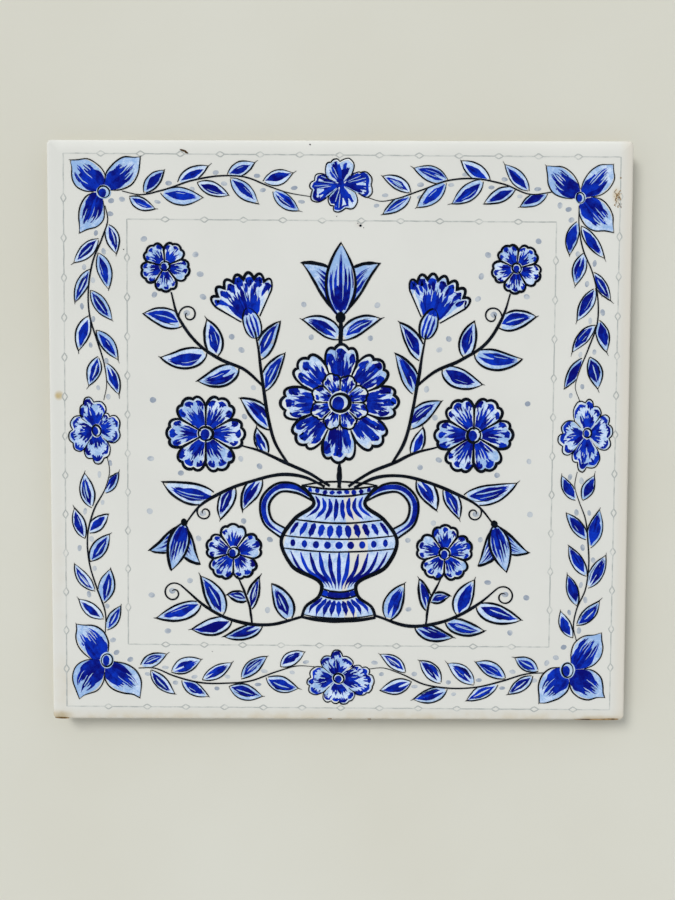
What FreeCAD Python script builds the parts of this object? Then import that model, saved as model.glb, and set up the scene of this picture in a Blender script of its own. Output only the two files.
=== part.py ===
import FreeCAD, Part
import math
import os

import Sketcher

# Driving dimensions in millimetres: alias, value, meaning
SIZES = [
    ("tile_side", "150", "outside length of each side"),
    ("tile_thickness", "6.5", "from the back's lands to the flat of the glazed face"),
    ("plan_corner_radius", "1.2", "rounding of the four corners, seen from the front"),
    ("cushion_width", "4", "rounded margin of the face, from its flat to the side"),
    ("cushion_radius", "14", "curve of that margin across its section"),
    ("arris_radius", "1", "rounding where the margin turns down into the side"),
    ("undercut_height", "3.5", "height over which the side leans in towards the back"),
    ("undercut_depth", "0.7", "how far the side leans in at the back"),
    ("key_count", "6", "keying recesses along each side of the back"),
    ("key_rim", "5", "plain rim of the back around the recesses"),
    ("key_land", "4", "land between two recesses"),
    ("key_depth", "0.8", "depth of a recess"),
    ("key_corner_radius", "2", "rounding of a recess's corners"),
]
VALUE = {alias: float(text) for alias, text, meaning in SIZES}

# Sizes that follow from the driving ones, as sheet expressions
HALF_SIDE = "sizes.tile_side / 2"
BACK_HALF_SIDE = "(sizes.tile_side / 2 - sizes.undercut_depth)"
KEY_START = f"({BACK_HALF_SIDE} - sizes.key_rim)"
KEY_CELL = f"((2 * {KEY_START} - (sizes.key_count - 1) * sizes.key_land) / sizes.key_count)"
KEY_SPAN = f"((sizes.key_count - 1) * ({KEY_CELL} + sizes.key_land))"

# How far a cutting profile runs past the blank, so that no two faces coincide
OVERRUN = 2.0

ORIGIN = (-1, 1)
START, END, CENTRE = 1, 2, 3


def make_sheet(doc):
    """Write the driving dimensions into a spreadsheet, each under its alias."""
    sheet = doc.addObject("Spreadsheet::Sheet", "sizes")
    for row, (alias, text, meaning) in enumerate(SIZES, start=1):
        sheet.set(f"A{row}", alias)
        sheet.set(f"B{row}", text)
        sheet.set(f"C{row}", meaning)
        sheet.setAlias(f"B{row}", alias)
    doc.recompute()
    return sheet


def origin_feature(body, role):
    """Return the body's own origin plane or axis that has this role."""
    return next(item for item in body.Origin.OriginFeatures if item.Role == role)


def new_sketch(body, name, plane_role):
    """Add a sketch that lies on one of the body's origin planes."""
    sketch = body.newObject("Sketcher::SketchObject", name)
    sketch.AttachmentSupport = (origin_feature(body, plane_role), [""])
    sketch.MapMode = "FlatFace"
    return sketch


def dimension(sketch, name, kind, *where, expression, value):
    """Add a named dimension and bind it to the sheet."""
    index = sketch.addConstraint(Sketcher.Constraint(kind, *where, value))
    sketch.renameConstraint(index, name)
    sketch.setExpression(f"Constraints.{name}", expression)


def relate(sketch, kind, *where):
    """Add a geometric constraint."""
    sketch.addConstraint(Sketcher.Constraint(kind, *where))


def line(sketch, first, last):
    """Add a line between two points of the sketch plane."""
    return sketch.addGeometry(Part.LineSegment(FreeCAD.Vector(*first), FreeCAD.Vector(*last)))


def arc(sketch, centre, radius, first, last):
    """Add an arc that runs anticlockwise from one angle to another, in radians."""
    circle = Part.Circle(FreeCAD.Vector(*centre), FreeCAD.Vector(0, 0, 1), radius)
    return sketch.addGeometry(Part.ArcOfCircle(circle, first, last))


def rounded_square(sketch, low, side, radius, low_expression, side_expression, radius_expression):
    """Draw a square with rounded corners whose low corner lies at (-low, -low)."""
    near = -low
    far = near + side
    sides = [
        line(sketch, (near + radius, near), (far - radius, near)),
        line(sketch, (far, near + radius), (far, far - radius)),
        line(sketch, (far - radius, far), (near + radius, far)),
        line(sketch, (near, far - radius), (near, near + radius)),
    ]
    centres = [
        (far - radius, near + radius),
        (far - radius, far - radius),
        (near + radius, far - radius),
        (near + radius, near + radius),
    ]
    corners = []
    for turn, centre in enumerate(centres):
        first = (turn - 1) * math.pi / 2
        corners.append(arc(sketch, centre, radius, first, first + math.pi / 2))
    for turn in range(4):
        relate(sketch, "Tangent", sides[turn], END, corners[turn], START)
        relate(sketch, "Tangent", corners[turn], END, sides[(turn + 1) % 4], START)
        relate(sketch, "Vertical" if turn % 2 else "Horizontal", sides[turn])
    for corner in corners[1:]:
        relate(sketch, "Equal", corners[0], corner)
    bottom, right, top, left = sides
    bind = {"expression": side_expression, "value": side}
    dimension(sketch, "width", "DistanceX", left, START, right, START, **bind)
    dimension(sketch, "height", "DistanceY", bottom, START, top, START, **bind)
    bind = {"expression": low_expression, "value": low}
    dimension(sketch, "from_middle_x", "DistanceX", left, START, *ORIGIN, **bind)
    dimension(sketch, "from_middle_y", "DistanceY", bottom, START, *ORIGIN, **bind)
    bind = {"expression": radius_expression, "value": radius}
    dimension(sketch, "corner", "Radius", corners[0], **bind)


def draw_edge_waste(sketch):
    """Draw what the edge's section leaves off a square-edged blank.

    The upper loop lies above the cushion: a wide arc that leaves the flat of the face, then the arris arc
    that turns down into the side. The lower loop lies below the lean of the side towards the back.
    """
    half = VALUE["tile_side"] / 2
    face = VALUE["tile_thickness"]
    width, wide, tight = VALUE["cushion_width"], VALUE["cushion_radius"], VALUE["arris_radius"]
    rise = math.sqrt((wide - tight) ** 2 - (width - tight) ** 2)
    turn_down = face - wide + rise
    meeting = math.atan2(rise, width - tight)
    outside = half + OVERRUN
    inside = half - width

    cushion = arc(sketch, (inside, face - wide), wide, meeting, math.pi / 2)
    arris = arc(sketch, (half - tight, turn_down), tight, 0, meeting)
    under = line(sketch, (half, turn_down), (outside, turn_down))
    outer = line(sketch, (outside, turn_down), (outside, face + OVERRUN))
    above = line(sketch, (outside, face + OVERRUN), (inside, face + OVERRUN))
    inner = line(sketch, (inside, face + OVERRUN), (inside, face))
    relate(sketch, "Tangent", cushion, START, arris, END)
    relate(sketch, "Coincident", arris, START, under, START)
    relate(sketch, "Coincident", under, END, outer, START)
    relate(sketch, "Coincident", outer, END, above, START)
    relate(sketch, "Coincident", above, END, inner, START)
    relate(sketch, "Coincident", inner, END, cushion, END)
    relate(sketch, "Vertical", cushion, CENTRE, cushion, END)
    relate(sketch, "Horizontal", arris, CENTRE, arris, START)
    relate(sketch, "Horizontal", under)
    relate(sketch, "Vertical", outer)
    relate(sketch, "Horizontal", above)
    relate(sketch, "Vertical", inner)
    dimension(sketch, "half_side", "DistanceX", *ORIGIN, arris, START, expression=HALF_SIDE, value=half)
    dimension(sketch, "face_height", "DistanceY", *ORIGIN, cushion, END,
              expression="sizes.tile_thickness", value=face)
    dimension(sketch, "cushion_width", "DistanceX", cushion, END, arris, START,
              expression="sizes.cushion_width", value=width)
    dimension(sketch, "cushion_radius", "Radius", cushion, expression="sizes.cushion_radius", value=wide)
    dimension(sketch, "arris_radius", "Radius", arris, expression="sizes.arris_radius", value=tight)
    relate(sketch, "DistanceX", under, START, under, END, OVERRUN)
    relate(sketch, "DistanceY", cushion, END, above, END, OVERRUN)

    lean_in, lean_up = VALUE["undercut_depth"], VALUE["undercut_height"]
    foot = half - lean_in
    lean = line(sketch, (foot, 0), (half, lean_up))
    over = line(sketch, (half, lean_up), (outside, lean_up))
    outer = line(sketch, (outside, lean_up), (outside, -OVERRUN))
    below = line(sketch, (outside, -OVERRUN), (foot, -OVERRUN))
    inner = line(sketch, (foot, -OVERRUN), (foot, 0))
    loop = [lean, over, outer, below, inner]
    for first, second in zip(loop, loop[1:] + loop[:1]):
        relate(sketch, "Coincident", first, END, second, START)
    relate(sketch, "Horizontal", over)
    relate(sketch, "Vertical", outer)
    relate(sketch, "Horizontal", below)
    relate(sketch, "Vertical", inner)
    relate(sketch, "PointOnObject", lean, START, -1)
    relate(sketch, "Vertical", arris, START, lean, END)
    dimension(sketch, "undercut_height", "DistanceY", lean, START, lean, END,
              expression="sizes.undercut_height", value=lean_up)
    dimension(sketch, "undercut_depth", "DistanceX", lean, START, lean, END,
              expression="sizes.undercut_depth", value=lean_in)
    relate(sketch, "DistanceX", over, START, over, END, OVERRUN)
    relate(sketch, "DistanceY", below, END, lean, START, OVERRUN)


def cut_away(doc, body, feature):
    """Make a feature the body's tip and make sure that it took material off."""
    before = body.Shape.Volume
    body.Tip = feature
    doc.recompute()
    if not body.Shape.Volume < before:
        raise RuntimeError(f"{feature.Name} cuts nothing")


def make_tile(doc):
    """Build the tile: a square blank, its four shaped edges and the keyed back."""
    body = doc.addObject("PartDesign::Body", "tile")
    body.Label = "tile"

    outline = new_sketch(body, "outline", "XY_Plane")
    rounded_square(outline, VALUE["tile_side"] / 2, VALUE["tile_side"], VALUE["plan_corner_radius"],
                   HALF_SIDE, "sizes.tile_side", "sizes.plan_corner_radius")
    blank = body.newObject("PartDesign::Pad", "blank")
    blank.Profile = outline
    blank.setExpression("Length", "sizes.tile_thickness")
    body.Tip = blank
    doc.recompute()

    # One edge's section is cut the whole length of the side, then turned to the other three sides,
    # so that neighbouring cushions meet in a mitre at each corner
    waste = new_sketch(body, "edge_waste", "XZ_Plane")
    draw_edge_waste(waste)
    edge_cut = body.newObject("PartDesign::Pocket", "edge_cut")
    edge_cut.Profile = waste
    edge_cut.SideType = "Symmetric"
    edge_cut.Type = "ThroughAll"
    cut_away(doc, body, edge_cut)
    all_edges = body.newObject("PartDesign::PolarPattern", "all_edges")
    all_edges.Originals = [edge_cut]
    all_edges.Axis = (origin_feature(body, "Z_Axis"), [""])
    all_edges.Angle = 360
    all_edges.Occurrences = 4
    cut_away(doc, body, all_edges)

    # The back's keying recesses start in one corner and repeat along both sides
    recess = new_sketch(body, "recess", "XY_Plane")
    start = VALUE["tile_side"] / 2 - VALUE["undercut_depth"] - VALUE["key_rim"]
    lands = (VALUE["key_count"] - 1) * VALUE["key_land"]
    rounded_square(recess, start, (2 * start - lands) / VALUE["key_count"], VALUE["key_corner_radius"],
                   KEY_START, KEY_CELL, "sizes.key_corner_radius")
    key_cut = body.newObject("PartDesign::Pocket", "key_cut")
    key_cut.Profile = recess
    key_cut.Reversed = True
    key_cut.setExpression("Length", "sizes.key_depth")
    cut_away(doc, body, key_cut)
    all_keys = body.newObject("PartDesign::LinearPattern", "all_keys")
    all_keys.Originals = [key_cut]
    all_keys.Direction = (origin_feature(body, "X_Axis"), [""])
    all_keys.Direction2 = (origin_feature(body, "Y_Axis"), [""])
    for length, count in (("Length", "Occurrences"), ("Length2", "Occurrences2")):
        all_keys.setExpression(length, KEY_SPAN)
        all_keys.setExpression(count, "sizes.key_count")
    cut_away(doc, body, all_keys)
    return body


def check_objects(doc):
    """Stop on any object that did not compute."""
    for item in doc.Objects:
        if "Invalid" in item.State or "Error" in item.State:
            raise RuntimeError(f"{item.Name} did not compute: {item.State}")


def export(body):
    """Check a sub-part's solid and write it as a STEP file under the sub-part's label."""
    shape = body.Shape
    if shape.isNull() or not shape.isValid() or len(shape.Solids) != 1:
        raise RuntimeError(f"{body.Label} is not one valid solid")
    os.makedirs("parts", exist_ok=True)
    shape.exportStep(f"parts/{body.Label}.step")


def main():
    """Build the document and write its sub-part."""
    doc = FreeCAD.newDocument("azulejo_tile")
    make_sheet(doc)
    tile = make_tile(doc)
    doc.recompute()
    check_objects(doc)
    export(tile)


main()
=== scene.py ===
"""Dress the glazed wall tile: its body, the fired blue print on its face, its soiling, light and camera."""

import logging
import math
from dataclasses import dataclass, field, replace
from enum import Enum
from typing import Sequence

import bmesh
import bpy
import numpy as np
from mathutils import Euler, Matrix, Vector


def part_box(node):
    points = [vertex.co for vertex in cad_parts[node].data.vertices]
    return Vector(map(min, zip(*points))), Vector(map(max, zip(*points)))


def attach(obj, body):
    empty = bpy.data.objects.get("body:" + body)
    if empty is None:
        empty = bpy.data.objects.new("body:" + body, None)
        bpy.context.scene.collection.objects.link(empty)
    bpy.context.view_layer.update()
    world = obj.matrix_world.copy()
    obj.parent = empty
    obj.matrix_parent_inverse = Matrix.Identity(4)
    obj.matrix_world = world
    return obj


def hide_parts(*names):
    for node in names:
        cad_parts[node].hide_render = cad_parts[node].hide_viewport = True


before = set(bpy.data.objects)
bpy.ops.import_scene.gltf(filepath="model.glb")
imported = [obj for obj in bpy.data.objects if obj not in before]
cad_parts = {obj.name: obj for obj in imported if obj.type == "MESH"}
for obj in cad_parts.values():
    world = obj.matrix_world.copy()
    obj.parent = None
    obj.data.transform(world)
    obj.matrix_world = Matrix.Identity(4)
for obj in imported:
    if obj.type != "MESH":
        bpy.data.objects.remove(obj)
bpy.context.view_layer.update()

LOG = logging.getLogger("tile")
MM = 0.001
GOLDEN_RATIO = 0.5 * (1.0 + math.sqrt(5.0))
BODY = "root"
IMAGE_WIDTH = 675
IMAGE_HEIGHT = 900

Curve = np.ndarray
Colour = tuple[int, int, int]
Spot = tuple[float, float]


# Colours, and curves on the face in millimetres


def linear(rgb: Colour) -> tuple[float, float, float, float]:
    """Turn an 8-bit screen colour into the linear colour that shaders take.

    Args:
        rgb: Red, green and blue from 0 to 255.

    Returns:
        Linear red, green and blue from 0 to 1, and an alpha of 1.
    """
    value = np.asarray(rgb) / 255.0
    out = np.where(value <= 0.04045, value / 12.92, ((value + 0.055) / 1.055) ** 2.4)
    return float(out[0]), float(out[1]), float(out[2]), 1.0


def smooth(value: np.ndarray) -> np.ndarray:
    """Ease from 0 to 1: three squares less two cubes of the value, held between 0 and 1."""
    held = np.clip(value, 0.0, 1.0)
    return held * held * (3.0 - 2.0 * held)


def chords(points: Sequence[Spot]) -> np.ndarray:
    """Return how far each point lies from the first, along the straight lines between neighbours."""
    return np.concatenate([[0.0], np.cumsum(np.hypot(*np.diff(points, axis=0).T))])


def curve_through(points: Sequence[Spot], count: int) -> Curve:
    """Carry a smooth line through given points.

    Between two neighbours the line is a cubic whose slope at each point is the slope of its neighbours,
    with the distance along the chords as parameter.

    Args:
        points: The points that the line goes through.
        count: How many stations the line gets.

    Returns:
        The stations, evenly spaced along the chords.
    """
    knots = np.asarray(points, dtype=float)
    mark = chords(knots)
    slope = np.gradient(knots, mark, axis=0)
    where = np.linspace(0.0, mark[-1], count)
    start = np.clip(np.searchsorted(mark, where, side="right") - 1, 0, len(mark) - 2)
    span = (mark[start + 1] - mark[start])[:, None]
    u = (where - mark[start])[:, None] / span
    first = (1 + 2 * u) * (1 - u) ** 2 * knots[start] + u * (1 - u) ** 2 * span * slope[start]
    second = u ** 2 * (3 - 2 * u) * knots[start + 1] + u ** 2 * (u - 1) * span * slope[start + 1]
    return first + second


def spiral(centre: Spot, radii: Spot, start: float, turn: float, count: int) -> Curve:
    """Wind a line round a point while its radius goes evenly from the first value to the second.

    Args:
        centre: The point that the line winds round.
        radii: The radius at the start and at the end.
        start: The angle of the first station, in degrees.
        turn: How far the line winds, in degrees, anticlockwise if positive.
        count: How many stations the line gets.

    Returns:
        The stations of the line.
    """
    share = np.linspace(0.0, 1.0, count)
    angle = np.radians(start + turn * share)
    radius = radii[0] + (radii[1] - radii[0]) * share
    return np.stack([centre[0] + radius * np.cos(angle), centre[1] + radius * np.sin(angle)], axis=1)


def across(path: Curve) -> Curve:
    """Work out the unit normals of a line, to the left of its travel.

    Args:
        path: The line's stations.

    Returns:
        One normal a station.
    """
    along = np.gradient(path, axis=0)
    along /= np.maximum(np.hypot(along[:, 0], along[:, 1]), 1e-9)[:, None]
    return np.stack([-along[:, 1], along[:, 0]], axis=1)


def unit(way: np.ndarray) -> np.ndarray:
    """Return a direction at a length of 1."""
    return way / max(float(np.hypot(*way)), 1e-6)


def area(loop: Curve) -> float:
    """Return twice the area inside a closed line, positive if the line runs anticlockwise."""
    ahead = np.roll(loop, -1, axis=0)
    return float((loop[:, 0] * ahead[:, 1] - loop[:, 1] * ahead[:, 0]).sum())


@dataclass(frozen=True)
class Place:
    """Where a motif sits on the face: mirrored if asked, then turned, then shifted."""

    x: float = 0.0
    y: float = 0.0
    turn: float = 0.0
    mirror: bool = False

    def of(self, points: Curve) -> Curve:
        """Carry points of the motif to the face.

        Args:
            points: Points in the motif's own axes, one a row.

        Returns:
            The same points on the face.
        """
        local = np.asarray(points, dtype=float)
        flip = -1.0 if self.mirror else 1.0
        sine, cosine = math.sin(math.radians(self.turn)), math.cos(math.radians(self.turn))
        x = flip * local[..., 0]
        y = local[..., 1]
        return np.stack([self.x + cosine * x - sine * y, self.y + sine * x + cosine * y], axis=-1)

    def spot(self, spot: Spot) -> Spot:
        """Carry one point of the motif to the face."""
        x, y = self.of(np.asarray(spot))
        return float(x), float(y)


@dataclass
class Hand:
    """The painter's hand: the same seeded unevenness in every run."""

    seed: int
    rng: np.random.Generator = field(init=False)

    def __post_init__(self) -> None:
        """Start the run of random draws."""
        self.rng = np.random.default_rng(self.seed)

    def near(self, value: float, reach: float) -> float:
        """Return a number within reach of the value."""
        return value + reach * float(self.rng.uniform(-1.0, 1.0))

    def pair(self, spot: Spot, reach: float) -> Spot:
        """Return a spot within reach of another along x and along y."""
        return self.near(spot[0], reach), self.near(spot[1], reach)

    def side(self) -> float:
        """Return 1 or -1 with equal odds."""
        return 1.0 if self.rng.random() < 0.5 else -1.0

    def waver(self, count: int, waves: float) -> np.ndarray:
        """Draw a slow uneven wave.

        It is the sum of three sines of random phase, each shorter and weaker than the one before.

        Args:
            count: How many stations the wave has.
            waves: How many times the longest sine swings over the whole length.

        Returns:
            Values of about -1 to 1, one a station.
        """
        share = np.linspace(0.0, 1.0, count)[:, None]
        pace = waves * np.array([1.0, 1.9, 3.3])
        phase = self.rng.uniform(0.0, 2.0 * np.pi, 3)
        return (np.sin(2.0 * np.pi * pace * share + phase) * np.array([0.55, 0.3, 0.15])).sum(axis=1)

    def pressure(self, count: int, entry: float, leave: float) -> np.ndarray:
        """Draw how wide a brush mark is along its way.

        The mark swells from the entry share over its first fifth, thins to the leaving share over its last
        third, and wavers by a tenth in between.

        Args:
            count: How many stations the mark has.
            entry: The share of the full width at the start.
            leave: The share of the full width at the end.

        Returns:
            Shares of the full width, one a station.
        """
        share = np.linspace(0.0, 1.0, count)
        swell = entry + (1.0 - entry) * smooth(share / 0.2)
        thin = leave + (1.0 - leave) * smooth((1.0 - share) / 0.33)
        return swell * thin * (1.0 + 0.1 * self.waver(count, 2.0))


# Finishes


class NodeSheet:
    """The node tree of a material or of the world, with short calls for the nodes that are used."""

    def __init__(self, holder: bpy.types.Material | bpy.types.World, shader: str = "Principled BSDF",
                 space: str = "Object") -> None:
        """Start a tree that ends in one shader.

        Args:
            holder: What the tree belongs to.
            shader: The name of its shader's node.
            space: The coordinates that its position is read in.
        """
        holder.use_nodes = True
        self.holder = holder
        self.tree = holder.node_tree
        self.shader = self.tree.nodes[shader]
        self.position = self.add("ShaderNodeTexCoord").outputs[space]

    def add(self, kind: str, feeds: dict[int | str, object] | None = None,
            **settings: object) -> bpy.types.Node:
        """Add a node, set its properties and feed its sockets.

        Args:
            kind: The node's type.
            feeds: What its inputs get, by number or name: output sockets or plain values.
            settings: Properties of the node by name.

        Returns:
            The new node.
        """
        node = self.tree.nodes.new(kind)
        for key, value in settings.items():
            setattr(node, key, value)
        for key, value in (feeds or {}).items():
            self.feed(node.inputs[key], value)
        return node

    def feed(self, socket: bpy.types.NodeSocket, value: object) -> None:
        """Link a socket to another one, or set it to a plain value.

        Args:
            socket: The input to fill.
            value: An output socket, or a number, colour or vector.
        """
        if isinstance(value, bpy.types.NodeSocket):
            self.tree.links.new(value, socket)
        else:
            socket.default_value = value

    def give(self, name: str, value: object) -> None:
        """Feed one of the shader's own sockets, by its name."""
        self.feed(self.shader.inputs[name], value)

    def noise(self, scale: float, detail: float) -> object:
        """Return soft noise from 0 to 1 over the object's own coordinates, of so many cells a metre."""
        feeds = {"Vector": self.position, "Scale": scale, "Detail": detail}
        return self.add("ShaderNodeTexNoise", feeds).outputs["Fac"]

    def reckon(self, operation: str, first: object, second: object) -> object:
        """Return what a math node's operation makes of two sockets or numbers."""
        return self.add("ShaderNodeMath", {0: first, 1: second}, operation=operation).outputs[0]

    def times(self, first: object, second: object) -> object:
        """Multiply two sockets or numbers."""
        return self.reckon("MULTIPLY", first, second)

    def ease(self, value: object, low: float, high: float, start: float = 0.0, end: float = 1.0) -> object:
        """Carry a value smoothly from the range of low to high to the range of start to end."""
        feeds = {"Value": value, "From Min": low, "From Max": high, "To Min": start, "To Max": end}
        return self.add("ShaderNodeMapRange", feeds, interpolation_type="SMOOTHSTEP").outputs["Result"]

    def mix(self, share: object, first: object, second: object) -> object:
        """Mix two colours by the share of the second, from 0 to 1."""
        return self.add("ShaderNodeMix", {0: share, 6: first, 7: second}, data_type="RGBA").outputs[2]

    def blot(self, centre: Spot, radii: Spot, soft: float) -> object:
        """Mask a soft oval on the face, in millimetres.

        The distance from the centre, with each axis divided by its radius, falls smoothly from 1 at the
        soft share of the oval to 0 at its rim.

        Args:
            centre: The oval's middle.
            radii: The oval's reach along x and y.
            soft: The share of the radius that stays full.

        Returns:
            The mask's socket.
        """
        middle, reach = (centre[0] * MM, centre[1] * MM, 0.0), (radii[0] * MM, radii[1] * MM, 1.0)
        feeds = {"Vector": self.position, "Location": middle, "Scale": reach}
        turn = self.add("ShaderNodeMapping", feeds, vector_type="TEXTURE")
        length = self.add("ShaderNodeVectorMath", {0: turn.outputs["Vector"]}, operation="LENGTH")
        return self.ease(length.outputs["Value"], soft, 1.0, 1.0, 0.0)

    def wiped(self, gloss: float) -> object:
        """Return a roughness that strays a little about a gloss, as on a wiped glaze."""
        return self.ease(self.noise(60.0, 4.0), 0.3, 0.8, gloss - 0.03, gloss + 0.05)

    def bump(self, height: object, strength: float = 0.25, distance_mm: float = 0.12) -> None:
        """Roughen the surface by so much of a height, of which 1 measures the distance."""
        feeds = {"Strength": strength, "Distance": distance_mm * MM, "Height": height}
        self.give("Normal", self.add("ShaderNodeBump", feeds).outputs["Normal"])


@dataclass(frozen=True)
class TintPatch:
    """A soft tinted place on the glaze, in millimetres on the face: real staining, or a patch of painted
    reflection.
    """

    centre: Spot
    radii: Spot
    colour: Colour
    strength: float
    soft: float = 0.1


@dataclass(frozen=True)
class GlazeFinish:
    """White tin glaze with painted shade and tints at its rims, over a buff fired body that shows below the
    glaze line.
    """

    white: Colour = (222, 223, 218)
    shade: Colour = (219, 220, 215)
    # Painted shade: the grey white that the left rim is mixed to.
    left_rim_painted_shade: Colour = (212, 213, 208)
    right_rim: Colour = (217, 213, 202)
    # Dirt together with painted shade: the beige that the bottom rim is mixed to.
    bottom_grime_and_shade: Colour = (208, 200, 180)
    bisque: Colour = (214, 193, 160)
    bisque_dark: Colour = (186, 160, 124)
    glaze_line_mm: float = 2.9
    line_soft_mm: float = 0.12
    drip_mm: float = 1.6
    half_side_mm: float = 75.0
    rim_mm: Spot = (4.5, 0.5)
    bottom_grime_and_shade_mm: Spot = (3.6, 0.3)
    gloss: float = 0.1
    bare_roughness: float = 0.82
    stains_and_reflections: tuple[TintPatch, ...] = (
        TintPatch((-72.3, 9.8), (1.5, 1.6), (182, 156, 84), 1.5, 0.2),
        # Painted reflection: the next two patches are the warm surroundings mirrored in the lower left
        # margin.
        TintPatch((-72.9, -38.0), (3.4, 30.0), (212, 209, 200), 0.6),
        TintPatch((-72.4, -66.0), (4.6, 12.0), (209, 203, 188), 0.6),
        TintPatch((-73.6, -73.9), (4.6, 1.9), (176, 156, 112), 0.9),
        TintPatch((69.0, -74.4), (9.0, 1.1), (186, 166, 128), 1.0),
        TintPatch((-23.9, -51.6), (2.1, 1.9), (222, 205, 172), 0.8),
        TintPatch((70.6, 60.8), (1.7, 3.2), (204, 186, 150), 0.8),
        TintPatch((4.8, 53.6), (1.5, 1.3), (205, 200, 190), 0.6),
    )

    def rim(self, sheet: NodeSheet, along: object, band_mm: Spot) -> object:
        """Mask a rim, from none at the first distance to the tile's edge to full at the second."""
        low, high = ((self.half_side_mm - distance) * MM for distance in band_mm)
        return sheet.ease(along, low, high)

    def material(self) -> bpy.types.Material:
        """Build the finish.

        Returns:
            The material.
        """
        sheet = NodeSheet(bpy.data.materials.new("white_glaze_on_buff_body"))
        x, y, z = sheet.add("ShaderNodeSeparateXYZ", {0: sheet.position}).outputs
        cloud = sheet.ease(sheet.noise(42.0, 4.0), 0.35, 0.7)
        colour = sheet.mix(cloud, linear(self.white), linear(self.shade))
        streak = sheet.ease(sheet.noise(260.0, 5.0), 0.3, 0.75, 0.35, 1.0)
        colour = sheet.mix(self.rim(sheet, x, self.rim_mm), colour, linear(self.right_rim))
        # Painted shade: the left rim is greyed, to dim the key light that falls on the left cushion.
        left = self.rim(sheet, sheet.times(x, -1.0), self.rim_mm)
        colour = sheet.mix(left, colour, linear(self.left_rim_painted_shade))
        # Streaky dirt together with painted shade along the bottom rim.
        low = self.rim(sheet, sheet.times(y, -1.0), self.bottom_grime_and_shade_mm)
        colour = sheet.mix(sheet.times(low, streak), colour, linear(self.bottom_grime_and_shade))
        # Staining, and the painted reflection on the left margin, each broken up by the streaks.
        for tint in self.stains_and_reflections:
            mask = sheet.times(sheet.blot(tint.centre, tint.radii, tint.soft), tint.strength)
            colour = sheet.mix(sheet.times(mask, streak), colour, linear(tint.colour))
        grain = sheet.noise(900.0, 6.0)
        raw = sheet.mix(sheet.ease(grain, 0.35, 0.7), linear(self.bisque), linear(self.bisque_dark))
        level = sheet.reckon("ADD", z, sheet.times(sheet.noise(95.0, 4.0), self.drip_mm * MM))
        low, high = ((self.glaze_line_mm + off) * MM for off in (-self.line_soft_mm, self.line_soft_mm))
        glazed = sheet.ease(level, low, high)
        sheet.give("Base Color", sheet.mix(glazed, raw, colour))
        matt = sheet.ease(glazed, 0.0, 1.0, self.bare_roughness, 0.0)
        sheet.give("Roughness", sheet.reckon("MAXIMUM", matt, sheet.wiped(self.gloss)))
        ripple = sheet.times(sheet.noise(170.0, 2.0), glazed)
        sandy = sheet.times(grain, sheet.ease(glazed, 0.0, 1.0, 1.0, 0.0))
        sheet.bump(sheet.reckon("ADD", ripple, sandy))
        return sheet.holder


@dataclass(frozen=True)
class Pigment:
    """A fired colour: thin where the brush ran dry, deep where it pooled, with its height on the glaze."""

    thin: Colour
    deep: Colour
    level_mm: float
    mottle: float = 0.5
    grain: float = 0.12
    gloss: float = 0.11

    def material(self, name: str) -> bpy.types.Material:
        """Build the finish, which reads each mark's own tone and breaks it up with two noises.

        Args:
            name: The material's name.

        Returns:
            The material.
        """
        sheet = NodeSheet(bpy.data.materials.new(name))
        tone = sheet.add("ShaderNodeAttribute", attribute_name="tone").outputs["Fac"]
        pool = sheet.ease(sheet.noise(520.0, 3.0), 0.25, 0.75, -self.mottle, self.mottle)
        grain = sheet.ease(sheet.noise(2600.0, 2.0), 0.2, 0.8, -self.grain, self.grain)
        depth = sheet.ease(sheet.reckon("ADD", tone, sheet.reckon("ADD", pool, grain)), 0.0, 1.0)
        sheet.give("Base Color", sheet.mix(depth, linear(self.thin), linear(self.deep)))
        sheet.give("Roughness", sheet.wiped(self.gloss))
        sheet.bump(sheet.noise(170.0, 2.0))
        return sheet.holder


class Coat(Enum):
    """What a mark is painted with, in the order in which the coats lie on the glaze."""

    FRAME_LINE = "frame_line"
    WASH = "pale_wash"
    DOT = "grey_blue_dot"
    COBALT = "cobalt"
    GLINT = "pale_glint"
    INK = "ink"
    RUST = "rust_speck"


PIGMENTS: dict[Coat, Pigment] = {
    Coat.FRAME_LINE: Pigment((206, 209, 205), (174, 179, 177), 0.020, 0.45),
    Coat.WASH: Pigment((211, 228, 250), (149, 183, 229), 0.020, 0.3, 0.3),
    Coat.DOT: Pigment((194, 201, 207), (148, 159, 175), 0.020, 0.4),
    Coat.COBALT: Pigment((5, 55, 197), (0, 3, 110), 0.045, 0.24),
    Coat.GLINT: Pigment((224, 230, 232), (160, 192, 228), 0.070, 0.3),
    Coat.INK: Pigment((16, 25, 38), (0, 5, 14), 0.095, 0.35),
    Coat.RUST: Pigment((172, 142, 96), (70, 52, 30), 0.030, 0.5),
}
COBALT_TONE = (0.6, 0.3)
CORE_TONE = (0.6, 0.25)
INK_TONE = 0.75


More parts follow.
